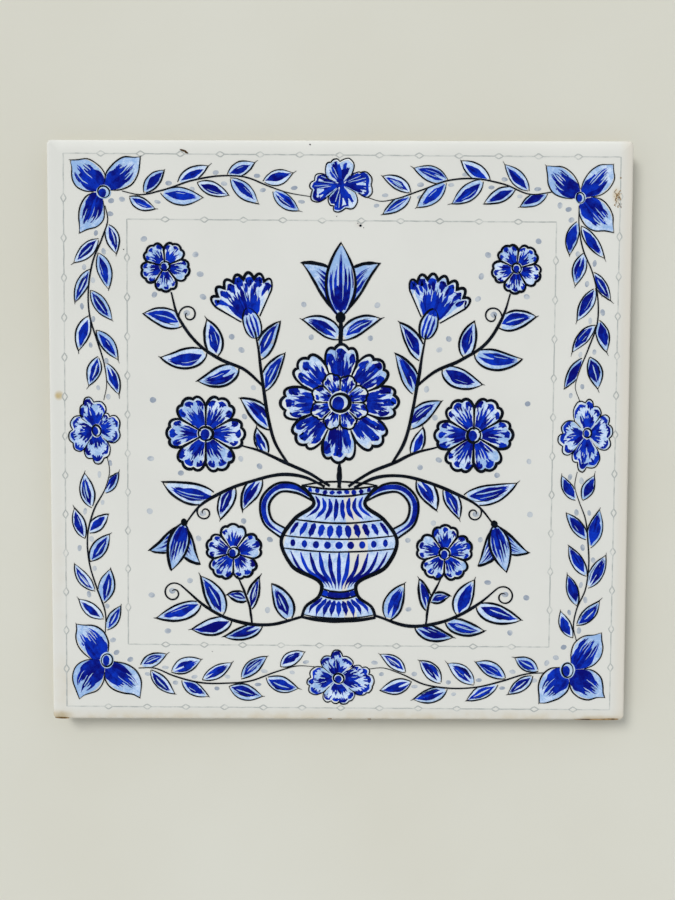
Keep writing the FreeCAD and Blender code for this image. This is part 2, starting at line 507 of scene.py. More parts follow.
class Touch(Enum):
    """How a line is drawn: its share of the full width at the start and at the end, and its stray in mm."""

    FRAME = (0.9, 0.9, 0.05)
    DIAMOND = (0.8, 0.8, 0.03)
    EDGE = (0.55, 0.35, 0.05)
    LONG_EDGE = (0.55, 0.2, 0.05)
    RIM = (0.5, 0.5, 0.05)
    STREAK = (0.6, 0.12, 0.07)
    PETAL_SLIT = (0.15, 0.6, 0.06)
    LEAF_HAIR = (0.3, 0.3, 0.05)
    LEAF_SLIT = (0.25, 0.2, 0.05)
    LEAF_SHADE = (0.2, 0.2, 0.06)
    RAY = (0.6, 0.14, 0.05)
    BROAD_RAY = (0.6, 0.2, 0.05)
    BLUNT_RAY = (0.6, 0.5, 0.05)
    RAY_HAIR = (0.5, 0.2, 0.04)
    RAY_SLIT = (0.15, 0.7, 0.05)
    RIM_SLIVER = (0.2, 0.4, 0.03)
    DAB_HAIR = (0.8, 0.2, 0.03)
    EYE_FLECK = (0.3, 0.3, 0.02)
    GARLAND_STEM = (0.6, 0.4, 0.06)
    SPRAY_STEM = (0.8, 0.5, 0.08)
    TENDRIL = (0.9, 0.5, 0.05)
    URN_LEVEL = (0.7, 0.7, 0.05)
    URN_LIP = (0.7, 0.7, 0.04)
    URN_MARK = (0.35, 0.12, 0.05)
    URN_EDGE = (0.8, 0.8, 0.06)
    HANDLE_EDGE = (0.8, 0.8, 0.04)
    HANDLE_HEART = (0.5, 0.3, 0.06)


def new_piece(name: str, points: np.ndarray, faces: Sequence[Sequence[int]],
              material: bpy.types.Material) -> bpy.types.Object:
    """Make a piece at the origin from corner points and faces.

    Args:
        name: The piece's name.
        points: Corner points in metres, one a row.
        faces: Corner numbers, face by face.
        material: The piece's finish.

    Returns:
        The new piece.
    """
    mesh = bpy.data.meshes.new(name)
    mesh.from_pydata(points, [], faces)
    mesh.materials.append(material)
    piece = bpy.data.objects.new(name, mesh)
    bpy.context.collection.objects.link(piece)
    return piece


# The tile's body


@dataclass
class GlazedBody:
    """The fired body: a square with a cushion edge, a leaning side and a keyed back, in millimetres."""

    side: float
    thickness: float
    print_height: float = 0.12
    corner_radius: float = 1.2
    cushion_width: float = 4.0
    cushion_radius: float = 14.0
    arris_radius: float = 1.0
    undercut_height: float = 3.5
    undercut_depth: float = 0.7
    key_count: int = 6
    key_rim: float = 5.0
    key_land: float = 4.0
    key_depth: float = 0.8
    key_corner: float = 2.0
    key_draft: float = 0.15
    least_corner: float = 0.02
    merge_reach: float = 0.002
    sharp_deg: float = 40.0
    section_steps: int = 8
    arc_steps: int = 4
    cell_steps: int = 6

    @property
    def half(self) -> float:
        """Half the tile's side."""
        return self.side / 2.0

    @property
    def face(self) -> float:
        """The height of the glazed face, which leaves room for the print inside the tile's own height."""
        return self.thickness - self.print_height

    @property
    def key_field(self) -> float:
        """Half the side of the keyed field, which ends half a land past its recesses."""
        return self.half - self.undercut_depth - self.key_rim + 0.5 * self.key_land

    def drop(self, reach: np.ndarray) -> np.ndarray:
        """Return the cushion's fall at distances from the middle: past the flat, that of an arc."""
        past = np.clip(reach - (self.half - self.cushion_width), 0.0, self.cushion_width - 0.5)
        return self.cushion_radius - np.sqrt(self.cushion_radius ** 2 - past ** 2)

    def height(self, points: Curve) -> np.ndarray:
        """Return the glaze's height at points: the face less the greater fall of the two directions."""
        away = np.abs(points)
        return self.face - np.maximum(self.drop(away[..., 0]), self.drop(away[..., 1]))

    def section(self) -> Curve:
        """Work out the edge's section from the middle of the face to the back rim.

        The cushion's arc stands on the flat and meets the arris's arc where both have the same slope. The
        arris then runs into the upright side, which leans in below the undercut's height.

        Returns:
            Half widths and heights, one ring a row.
        """
        flat = self.half - self.cushion_width
        reach = self.cushion_width - self.arris_radius
        slope = math.asin(reach / (self.cushion_radius - self.arris_radius))
        turn = np.linspace(0.0, slope, self.section_steps + 1)
        cushion = np.stack([
            flat + self.cushion_radius * np.sin(turn),
            self.face - self.cushion_radius * (1.0 - np.cos(turn)),
        ], axis=1)
        bend = np.linspace(slope, math.pi / 2.0, self.section_steps + 1)[1:]
        middle = cushion[-1] - self.arris_radius * np.array([math.sin(slope), math.cos(slope)])
        arris = middle + self.arris_radius * np.stack([np.sin(bend), np.cos(bend)], axis=1)
        wall = np.array([
            [self.half, self.undercut_height],
            [self.half - 0.5 * self.undercut_depth, 0.5 * self.undercut_height],
            [self.half - self.undercut_depth, 0.0],
        ])
        inner = np.array([[0.35 * flat, self.face], [0.7 * flat, self.face]])
        return np.concatenate([inner, cushion, arris, wall])

    def rings(self, half: np.ndarray, corner: np.ndarray, steps: int) -> Curve:
        """Lay rounded squares on the plan, all with the same number of points.

        Each corner is a quarter circle and each side a straight run between two of them.

        Args:
            half: Half widths of the squares.
            corner: Corner radii of the squares.
            steps: How many steps a straight side has.

        Returns:
            Points by ring, then along the ring, anticlockwise.
        """
        quarter = np.arange(4)[:, None] * np.pi / 2.0
        angle = quarter + np.linspace(0.0, np.pi / 2.0, self.arc_steps + 1)[None, :]
        middle = quarter[:, 0] + np.pi / 4.0
        hub = math.sqrt(2.0) * np.stack([np.cos(middle), np.sin(middle)], axis=-1)
        spoke = np.stack([np.cos(angle), np.sin(angle)], axis=-1)
        arcs = (half - corner)[:, None, None, None] * hub[None, :, None, :]
        arcs = arcs + corner[:, None, None, None] * spoke[None]
        share = np.linspace(0.0, 1.0, steps + 1)[1:-1][None, None, :, None]
        runs = arcs[:, :, -1:, :] * (1.0 - share) + np.roll(arcs, -1, axis=1)[:, :, :1, :] * share
        return np.concatenate([arcs, runs], axis=2).reshape(len(half), -1, 2)

    @staticmethod
    def skin(rings: int, points: int) -> np.ndarray:
        """Number the four-sided faces between neighbouring rings.

        Args:
            rings: How many rings there are.
            points: How many points a ring has.

        Returns:
            Faces, four corners a row, facing away from the axis when the rings go outwards and down.
        """
        ring, spot = np.meshgrid(np.arange(rings - 1), np.arange(points), indexing="ij")
        after = (spot + 1) % points
        here = ring * points
        there = here + points
        return np.stack([here + spot, there + spot, there + after, here + after], axis=-1).reshape(-1, 4)

    @staticmethod
    def raised(plan: Curve, level: np.ndarray) -> np.ndarray:
        """Give every ring of a plan its level and return all points, one a row."""
        tall = np.broadcast_to(level[:, None, None], (*plan.shape[:2], 1))
        return np.concatenate([plan, tall], axis=2).reshape(-1, 3)

    def shell(self) -> tuple[np.ndarray, list[list[int]]]:
        """Build face, edge and back rim as rings round the middle.

        Returns:
            Corner points in millimetres and faces by corner number.
        """
        section = self.section()
        half = np.append(section[:, 0], self.key_field)
        corner = np.maximum(self.corner_radius - (self.half - half), self.least_corner)
        corner[-1] = 0.0
        plan = self.rings(half, corner, self.key_count * self.cell_steps)
        solid = self.raised(plan, np.append(section[:, 1], 0.0))
        points = plan.shape[1]
        spot = np.arange(points)
        fan = np.stack([np.full(points, len(solid)), spot, (spot + 1) % points], axis=1)
        faces = self.skin(len(half), points).tolist() + fan.tolist()
        return np.vstack([solid, [[0.0, 0.0, self.face]]]), faces

    def keys(self) -> tuple[np.ndarray, list[list[int]]]:
        """Build the back's key recesses, one cell a recess with half a land round it.

        Returns:
            Corner points in millimetres and faces by corner number.
        """
        pitch = 2.0 * self.key_field / self.key_count
        mouth = 0.5 * (pitch - self.key_land)
        half = np.array([0.5 * pitch, mouth, mouth - self.key_draft, 0.5 * mouth])
        plan = self.rings(half, self.key_corner * np.array([0.0, 1.0, 1.0, 0.5]), self.cell_steps)
        points = plan.shape[1]
        cell = self.raised(plan, self.key_depth * np.array([0.0, 0.0, 1.0, 1.0]))
        cell = np.vstack([cell, [[0.0, 0.0, self.key_depth]]])
        row = (np.arange(self.key_count) - 0.5 * (self.key_count - 1)) * pitch
        shift = np.stack(np.meshgrid(row, row, [0.0], indexing="ij"), axis=-1).reshape(-1, 1, 3)
        solid = (cell[None] + shift).reshape(-1, 3)
        jump = (np.arange(self.key_count ** 2) * len(cell))[:, None, None]
        walls = (self.skin(len(half), points)[None] + jump).reshape(-1, 4)
        last = (len(half) - 1) * points + np.arange(points)
        fan = np.stack([last, np.full(points, len(cell) - 1), np.roll(last, -1)], axis=1)
        return solid, walls.tolist() + (fan[None] + jump).reshape(-1, 3).tolist()

    def build(self, finish: GlazeFinish) -> bpy.types.Object:
        """Join shell and keys into one closed mesh and dress it.

        Args:
            finish: The glaze and the fired body below it.

        Returns:
            The tile's body.
        """
        shell, faces = self.shell()
        keys, key_faces = self.keys()
        faces = faces + [[corner + len(shell) for corner in face] for face in key_faces]
        piece = new_piece("tile_body", np.vstack([shell, keys]) * MM, faces, finish.material())
        mesh = piece.data
        work = bmesh.new()
        work.from_mesh(mesh)
        bmesh.ops.remove_doubles(work, verts=work.verts, dist=self.merge_reach * MM)
        work.to_mesh(mesh)
        work.free()
        mesh.polygons.foreach_set("use_smooth", np.ones(len(mesh.polygons), dtype=bool))
        mesh.set_sharp_from_angle(angle=math.radians(self.sharp_deg))
        return piece


# The print


@dataclass
class PrintSheet:
    """The marks on one part of the face, gathered by coat as thin closed bands on the glaze."""

    name: str
    body: GlazedBody
    hand: Hand
    register: Place = Place()
    sunk_mm: float = 0.03
    spread_mm: float = 0.0168
    marks: dict[Coat, list[tuple[np.ndarray, ...]]] = field(default_factory=dict)

    def patch(self, coat: Coat, first: Curve, second: Curve, tone: float | np.ndarray,
              closed: bool = False, lift: float = 0.0) -> None:
        """Fill the band between two lines.

        Every station has four corners: under the glaze and on top at the first edge, then on top and under
        the glaze at the second. A mark's number times the golden ratio, less its whole part, sets its height
        within the coat, so that no two marks that overlap lie in one plane.

        Args:
            coat: What the band is painted with.
            first: One edge of the band.
            second: The other edge, station by station.
            tone: How deep the colour is, from 0 to 1, along the band if it is an array.
            closed: Whether the last station joins the first.
            lift: How far the band lies above its coat, in millimetres.
        """
        one, two = self.register.of(first), self.register.of(second)
        size = area(one) - area(two) if closed else area(np.concatenate([one, two[::-1]]))
        if size > 0.0:
            one, two = two, one
        marks = self.marks.setdefault(coat, [])
        top = PIGMENTS[coat].level_mm + lift + self.spread_mm * (len(marks) * GOLDEN_RATIO % 1.0)
        plan = np.stack([one, one, two, two], axis=1)
        tall = self.body.height(plan) + [-self.sunk_mm, top, top, -self.sunk_mm]
        points = np.concatenate([plan, tall[..., None]], axis=2).reshape(-1, 3)
        faces = self.body.skin(len(one) + closed, 4)[:, [0, 3, 2, 1]] % len(points)
        if not closed:
            faces = np.concatenate([faces, [[0, 3, 2, 1], np.arange(-4, 0) + len(points)]])
        marks.append((points, faces, np.repeat(np.broadcast_to(tone, len(one)), 4)))

    def stroke(self, coat: Coat, path: Curve, width: float, tone: float, touch: Touch,
               lift: float = 0.0) -> None:
        """Draw a line with the hand's own pressure.

        Args:
            coat: What the line is painted with.
            path: The line's middle.
            width: The line's full width, in millimetres.
            tone: How deep the colour is, from 0 to 1.
            touch: How the brush is set down, lifted and held.
            lift: How far the line lies above its coat, in millimetres.
        """
        entry, leave, shake = touch.value
        count = len(path)
        side = across(path)
        middle = path + side * (shake * self.hand.waver(count, 1.6))[:, None]
        reach = side * (0.5 * width * np.maximum(self.hand.pressure(count, entry, leave), 0.08))[:, None]
        self.patch(coat, middle + reach, middle - reach, tone, False, lift)

    def hair(self, coat: Coat, path: Curve, width: Spot, tone: Spot, touch: Touch) -> None:
        """Draw a line whose width and tone stray, each given as a value and its reach."""
        self.stroke(coat, path, self.hand.near(*width), self.hand.near(*tone), touch)

    def dot(self, coat: Coat, centre: Spot, radii: Spot, turn: float = 0.0, *, tone: float,
            lift: float = 0.0, count: int = 9) -> None:
        """Set down an oval dab: the band between its upper and lower half.

        Args:
            coat: What the dab is painted with.
            centre: The dab's middle.
            radii: Its reach along and across.
            turn: The angle of its long axis, in degrees.
            tone: How deep the colour is, from 0 to 1.
            lift: How far the dab lies above its coat, in millimetres.
            count: How many stations the dab gets.
        """
        angle = np.linspace(0.985 * np.pi, 0.015 * np.pi, count)
        rough = 1.0 + 0.08 * self.hand.waver(count, 1.0)
        along, beside = radii[0] * np.cos(angle), radii[1] * np.sin(angle) * rough
        place = Place(centre[0], centre[1], turn)
        upper = place.of(np.stack([along, beside], axis=1))
        lower = place.of(np.stack([along, -beside], axis=1))
        self.patch(coat, upper, lower, tone, False, lift)

    def ring(self, centre: Spot, radius: float, width: float, stretch: float, count: int = 22) -> None:
        """Draw a closed ring of ink, uneven as a hand draws it.

        Args:
            centre: The ring's middle.
            radius: The radius of the line's middle.
            width: The line's width, in millimetres.
            stretch: How many times as tall as wide the ring is.
            count: How many stations the ring gets.
        """
        angle = np.linspace(0.0, 2.0 * np.pi, count, endpoint=False)
        swing = self.hand.rng.uniform(0.0, 2.0 * np.pi)
        far = radius * (1.0 + 0.06 * np.cos(2.0 * angle + swing))
        thick = 0.5 * width * (1.0 + 0.3 * np.cos(angle - swing))
        spoke = np.stack([np.cos(angle), stretch * np.sin(angle)], axis=1)
        outer, inner = (np.asarray(centre) + spoke * reach[:, None] for reach in (far + thick, far - thick))
        self.patch(Coat.INK, inner, outer, 0.7, True)

    def build(self) -> list[bpy.types.Object]:
        """Build one piece a coat, with a plan map of the face and the marks' tones.

        Returns:
            The pieces.
        """
        pieces = []
        for coat in (coat for coat in Coat if coat in self.marks):
            solids, skins, tones = zip(*self.marks[coat])
            starts = np.cumsum([0, *map(len, solids)])
            points = np.concatenate(solids)
            faces = np.concatenate([start + skin for start, skin in zip(starts, skins)])
            name = f"{self.name}_{coat.value}"
            piece = new_piece(name, points * MM, faces.tolist(), PIGMENTS[coat].material(name))
            tone = piece.data.attributes.new("tone", "FLOAT", "POINT")
            tone.data.foreach_set("value", np.concatenate(tones))
            plan = points[faces.reshape(-1), :2] / self.body.side + 0.5
            piece.data.uv_layers.new(name="OFBake").data.foreach_set("uv", plan.reshape(-1))
            pieces.append(piece)
        return pieces


# Leaves and petals


class Core(Enum):
    """How the dark brush mark in a leaf is laid."""

    WHOLE = "whole"
    SLIT = "slit"
    TWIN = "twin"


class Lobe:
    """A leaf or petal as a function of two numbers: s from base to tip, t from one edge at -1 to 1."""

    place: Place

    def at(self, s: np.ndarray, t: np.ndarray) -> Curve:
        """Return points on the face at shares s from base to tip and t from the middle to an edge."""
        raise NotImplementedError

    def run(self, ends: Spot, side: Spot, count: int = 14) -> Curve:
        """Return a line that goes evenly between two values of s, the ends, and two of t, the side."""
        return self.at(np.linspace(*ends, count), np.linspace(*side, count))

    def fill(self, sheet: PrintSheet, coat: Coat, ends: Spot, sides: Spot, tone: float | np.ndarray,
             count: int = 14) -> None:
        """Fill the lobe between two values of s and two of t.

        Args:
            sheet: Where to paint.
            coat: What it is painted with.
            ends: The first and last value of s.
            sides: The two values of t.
            tone: How deep the colour is, or how deep at every station.
            count: How many stations the fill gets.
        """
        s = np.linspace(*ends, count)
        frayed = 1.0 + 0.06 * sheet.hand.waver(count, 2.0)
        sheet.patch(coat, self.at(s, sides[0] * frayed), self.at(s, np.full(count, sides[1])), tone)

    def spindle(self, sheet: PrintSheet, ends: Spot, middle: float, spread: float, tone: float) -> None:
        """Lay a dark brush mark that is pointed at both ends.

        Its half width is the spread times the sine of its way, to the power of 0.7.

        Args:
            sheet: Where to paint.
            ends: The first and last value of s.
            middle: The value of t in its middle.
            spread: Its greatest half width in t.
            tone: How deep the colour is.
        """
        count = 14
        share = np.linspace(0.0, 1.0, count)
        s = ends[0] + (ends[1] - ends[0]) * share
        swell = spread * np.maximum(np.sin(np.pi * share), 0.02) ** 0.7
        drift = middle + 0.08 * sheet.hand.waver(count, 0.8)
        ragged = 1.0 + 0.12 * sheet.hand.waver(count, 2.6)
        sheet.patch(Coat.COBALT, self.at(s, drift - swell * ragged), self.at(s, drift + swell), tone)

    def clear(self, side: float) -> float:
        """Return the value of s from which an edge is free to be drawn."""
        return 0.0

    def outline(self, sheet: PrintSheet, width: float, starts: Spot, overshoot: float) -> None:
        """Draw both edges from the base to the tip, one of them running past it as a hair.

        Args:
            sheet: Where to paint.
            width: The line's width, in millimetres.
            starts: Where the edges at t = -1 and t = 1 start, as values of s.
            overshoot: How far the hair runs on, in millimetres.
        """
        lead = sheet.hand.side()
        rib = self.run((0.9, 1.0), (0.0, 0.0), 2)
        for side, start in ((-1.0, starts[0]), (1.0, starts[1])):
            touch = Touch.EDGE
            edge = self.run((max(start, self.clear(side)), 0.993), (side, side), 18)
            if side == lead:
                touch = Touch.LONG_EDGE
                way = 0.5 * unit(edge[-1] - edge[-3]) + 0.5 * unit(rib[1] - rib[0])
                hair = way * np.linspace(0.2, 1.0, 4)[:, None] * overshoot
                edge = np.concatenate([edge, edge[-1] + hair])
            sheet.stroke(Coat.INK, edge, width * sheet.hand.near(1.0, 0.22), INK_TONE, touch)


class Pointed(Lobe):
    """A pointed leaf or petal, filled by streaks of the brush from its base."""

    half_width: float

    def ground(self, sheet: PrintSheet, ends: Spot, tone: float) -> None:
        """Lay the dark ground under a petal's brush fingers, between two values of s."""
        self.spindle(sheet, ends, 0.0, 0.7, tone)

    def streak(self, sheet: PrintSheet, ends: Spot, side: Spot, width: float) -> None:
        """Pull one dark brush hair through the lobe, between two values of s and two of t."""
        path = self.run(ends, side, 11)
        sheet.stroke(Coat.COBALT, path, width, sheet.hand.near(*COBALT_TONE), Touch.STREAK)

    def paint_petal(self, sheet: PrintSheet, fingers: int, line: float, root: float, starts: Spot,
                    dark: float = 0.71, spread: float = 0.74) -> None:
        """Paint a pointed petal: wash, a dark fan of uneven brush fingers from the base, slits, outline.

        Args:
            sheet: Where to paint.
            fingers: How many brush fingers fan out.
            line: The outline's width, in millimetres.
            root: Where the painting starts, as a value of s.
            starts: Where the edges at t = -1 and t = 1 start, as values of s.
            dark: Where the fingers end, about, as a value of s.
            spread: How far the fingers fan out, as a value of t.
        """
        hand = sheet.hand
        bare = hand.side()
        fade = np.linspace(hand.near(0.75, 0.2), hand.near(0.75, 0.2), 18)
        self.fill(sheet, Coat.WASH, (root, 0.955), (-0.95 * bare, 0.88 * bare), fade, 18)
        self.ground(sheet, (root, hand.near(0.5, 0.05)), hand.near(0.6, 0.2))
        leans = np.linspace(-spread, spread, fingers)
        for lean in leans:
            length = hand.near(dark - 0.12 * abs(lean), 0.12)
            width = hand.near(0.24, 0.08) * self.half_width
            self.streak(sheet, (root + 0.05, length), (0.75 * lean, hand.near(0.92 * lean, 0.07)), width)
            hair = hand.near(0.9 * lean, 0.16)
            self.streak(sheet, (0.4, hand.near(length + 0.02, 0.07)), (hair, hair), 0.09 * self.half_width)
        for lean in 0.5 * (leans[1:] + leans[:-1]):
            if hand.rng.random() < 0.7:
                ends = (hand.near(0.34, 0.12), hand.near(0.65, 0.08))
                slit = self.run(ends, (0.85 * lean, 0.92 * lean), 9)
                sheet.hair(Coat.GLINT, slit, (0.2, 0.08), (0.85, 0.25), Touch.PETAL_SLIT)
        self.outline(sheet, line, starts, hand.near(0.35, 0.2))


@dataclass
class Blade(Pointed):
    """A pointed lobe about a bowed midrib.

    The midrib is a parabola from base to tip that bows sideways by a share of its length. The half width is
    s to the power of the heel times 1 - s to the power of the point, scaled to its greatest value, so a
    point above 1 gives an ogee tip.
    """

    base: Spot
    tip: Spot
    half_width: float
    bow: float = 0.0
    heel: float = 0.75
    point: float = 0.85
    place: Place = Place()
    fence: Curve | None = None
    gap: float = 0.0

    def free(self, s: np.ndarray, t: np.ndarray) -> Curve:
        """Work out points of the blade in the motif's own axes, as the lobe's rule says, with no fence.

        Args:
            s: Shares of the way from base to tip.
            t: Shares of the half width, to the left if positive.

        Returns:
            The points, one a row.
        """
        start, way = np.asarray(self.base), np.subtract(self.tip, self.base)
        normal = np.array([-way[1], way[0]])
        bend = self.bow * 4.0
        middle = start + s[:, None] * way + (bend * s * (1.0 - s))[:, None] * normal
        along = way + (bend * (1.0 - 2.0 * s))[:, None] * normal
        side = np.stack([-along[:, 1], along[:, 0]], axis=1)
        side /= np.hypot(side[:, 0], side[:, 1])[:, None]
        peak = self.heel / (self.heel + self.point)
        held = np.clip(s, 1e-4, 1.0 - 1e-4)
        width = self.half_width * (held / peak) ** self.heel * ((1.0 - held) / (1.0 - peak)) ** self.point
        return middle + (t * width)[:, None] * side

    def held(self, spots: Curve) -> tuple[Curve, np.ndarray]:
        """Move points that lie over the stem to the blade's own side of it.

        The nearest station of the stem and its normal give a point's distance to the stem's left. What that
        distance lacks of the gap is made up along the normal, to the right if the gap is negative.

        Args:
            spots: Points in the motif's own axes, one a row.

        Returns:
            The points, and whether each of them was moved.
        """
        if self.fence is None:
            return spots, np.zeros(len(spots), dtype=bool)
        away = spots[:, None, :] - self.fence[None, :, :]
        near = np.argmin((away ** 2).sum(axis=2), axis=1)
        normal = across(self.fence)[near] * np.sign(self.gap)
        reach = (away[np.arange(len(spots)), near] * normal).sum(axis=1)
        inside = (near > 0) & (near < len(self.fence) - 1)
        short = np.where(inside, np.maximum(abs(self.gap) - reach, 0.0), 0.0)
        return spots + short[:, None] * normal, short > 0.0

    def at(self, s: np.ndarray, t: np.ndarray) -> Curve:
        """Return points of the blade on the face, kept on its own side of the stem."""
        return self.place.of(self.held(self.free(s, t))[0])

    def clear(self, side: float) -> float:
        """Return the value of s from which an edge, by its value of t, has come off the stem."""
        s = np.linspace(0.0, 0.7, 71)
        return float(s[self.held(self.free(s, np.full(71, side)))[1]].max(initial=0.0))

    def paint_leaf(self, sheet: PrintSheet, core: Core, line: float, spread: float = 0.63) -> None:
        """Paint a leaf: wash short of one edge, dark core with frayed ends, pale hairs, two open outlines.

        Args:
            sheet: Where to paint.
            core: How the dark core is laid.
            line: The outline's width, in millimetres.
            spread: Half the dark core's width, about, as a share of the leaf's.
        """
        hand = sheet.hand
        bare = hand.side()
        ends = (0.07, hand.near(0.93, 0.03))
        self.fill(sheet, Coat.WASH, ends, (-0.96 * bare, hand.near(0.92, 0.06) * bare), hand.near(0.5, 0.3))
        shift = -0.1 * bare
        ends = (hand.near(0.1, 0.04), hand.near(0.84, 0.05))
        spread = hand.near(spread, 0.07)
        if core is Core.TWIN:
            self.spindle(sheet, ends, shift - 0.36, 0.31, hand.near(*CORE_TONE))
            short = (ends[0] + 0.05, ends[1] - 0.08)
            self.spindle(sheet, short, shift + 0.33, 0.28, hand.near(*CORE_TONE))
        else:
            self.spindle(sheet, ends, shift, spread, hand.near(*CORE_TONE))
        for side in (-0.6, 0.0, 0.55):
            tip = hand.near(ends[1] - 0.06 + 0.1 * (1.0 - abs(side)), 0.06)
            sides = (shift + side * spread, shift + 0.8 * side * spread)
            self.streak(sheet, (0.42, tip), sides, 0.3 * self.half_width)
        for side in (-0.5, 0.45):
            if hand.rng.random() < 0.25:
                pair = (hand.near(0.32, 0.1), hand.near(0.66, 0.1))
                hair = self.run(pair, (shift + side * spread, shift + 0.9 * side * spread), 8)
                sheet.hair(Coat.GLINT, hair, (0.13, 0.04), (0.85, 0.25), Touch.LEAF_HAIR)
        if core is Core.SLIT:
            off = shift + hand.near(0.05, 0.14)
            slit = self.run((hand.near(0.26, 0.05), hand.near(0.74, 0.05)), (off, off - 0.05), 12)
            sheet.hair(Coat.GLINT, slit, (0.3, 0.06), (0.8, 0.25), Touch.LEAF_SLIT)
        if core is not Core.WHOLE:
            rim = shift + hand.side() * hand.near(0.85, 0.1) * spread
            shade = self.run((hand.near(0.24, 0.08), hand.near(0.72, 0.08)), (rim, rim), 10)
            sheet.hair(Coat.INK, shade, (0.17, 0.05), (0.4, 0.3), Touch.LEAF_SHADE)
        self.outline(sheet, line, (0.0, hand.near(0.02, 0.02)), hand.near(0.75, 0.5))


@dataclass
class Spade(Pointed):
    """A broad pointed petal between two edges.

    Each edge is a smooth curve through its points to the shared tip. A point lies at the share s of the way
    along both edges, and t takes it from the first edge at -1 to the second at 1. Below s = 0 the petal
    shrinks towards the hub at its origin, by four times s.
    """

    first: tuple[Spot, ...]
    second: tuple[Spot, ...]
    tip: Spot
    place: Place = Place()

    def __post_init__(self) -> None:
        """Draw both edges and take the greatest half width between them."""
        self.edges = [curve_through((*edge, self.tip), 41) for edge in (self.first, self.second)]
        self.half_width = 0.5 * float(np.hypot(*(self.edges[0] - self.edges[1]).T).max())

    def at(self, s: np.ndarray, t: np.ndarray) -> Curve:
        """Work out points of the petal, as its class says.

        Args:
            s: Shares of the way from base to tip.
            t: Shares of the way from the middle to an edge.

        Returns:
            The points on the face, one a row.
        """
        way = np.linspace(0.0, 1.0, 41)
        one, two = (np.stack([np.interp(s, way, edge[:, 0]), np.interp(s, way, edge[:, 1])], axis=1)
                    for edge in self.edges)
        shrink = 1.0 + 4.0 * np.minimum(s, 0.0)
        return self.place.of((0.5 * (one + two) + 0.5 * t[:, None] * (two - one)) * shrink[:, None])

    def ground(self, sheet: PrintSheet, ends: Spot, tone: float) -> None:
        """Lay a dark ground that fills the petal at the hub and draws in from there.

        Args:
            sheet: Where to paint.
            ends: The first and last value of s.
            tone: How deep the colour is.
        """
        count = 12
        s = np.linspace(*ends, count)
        spread = np.interp(s, [0.0, 0.2, 0.5], [0.96, 0.84, 0.5])
        ragged = 1.0 + 0.07 * sheet.hand.waver(count, 2.4)
        sheet.patch(Coat.COBALT, self.at(s, -spread * ragged), self.at(s, spread), tone)


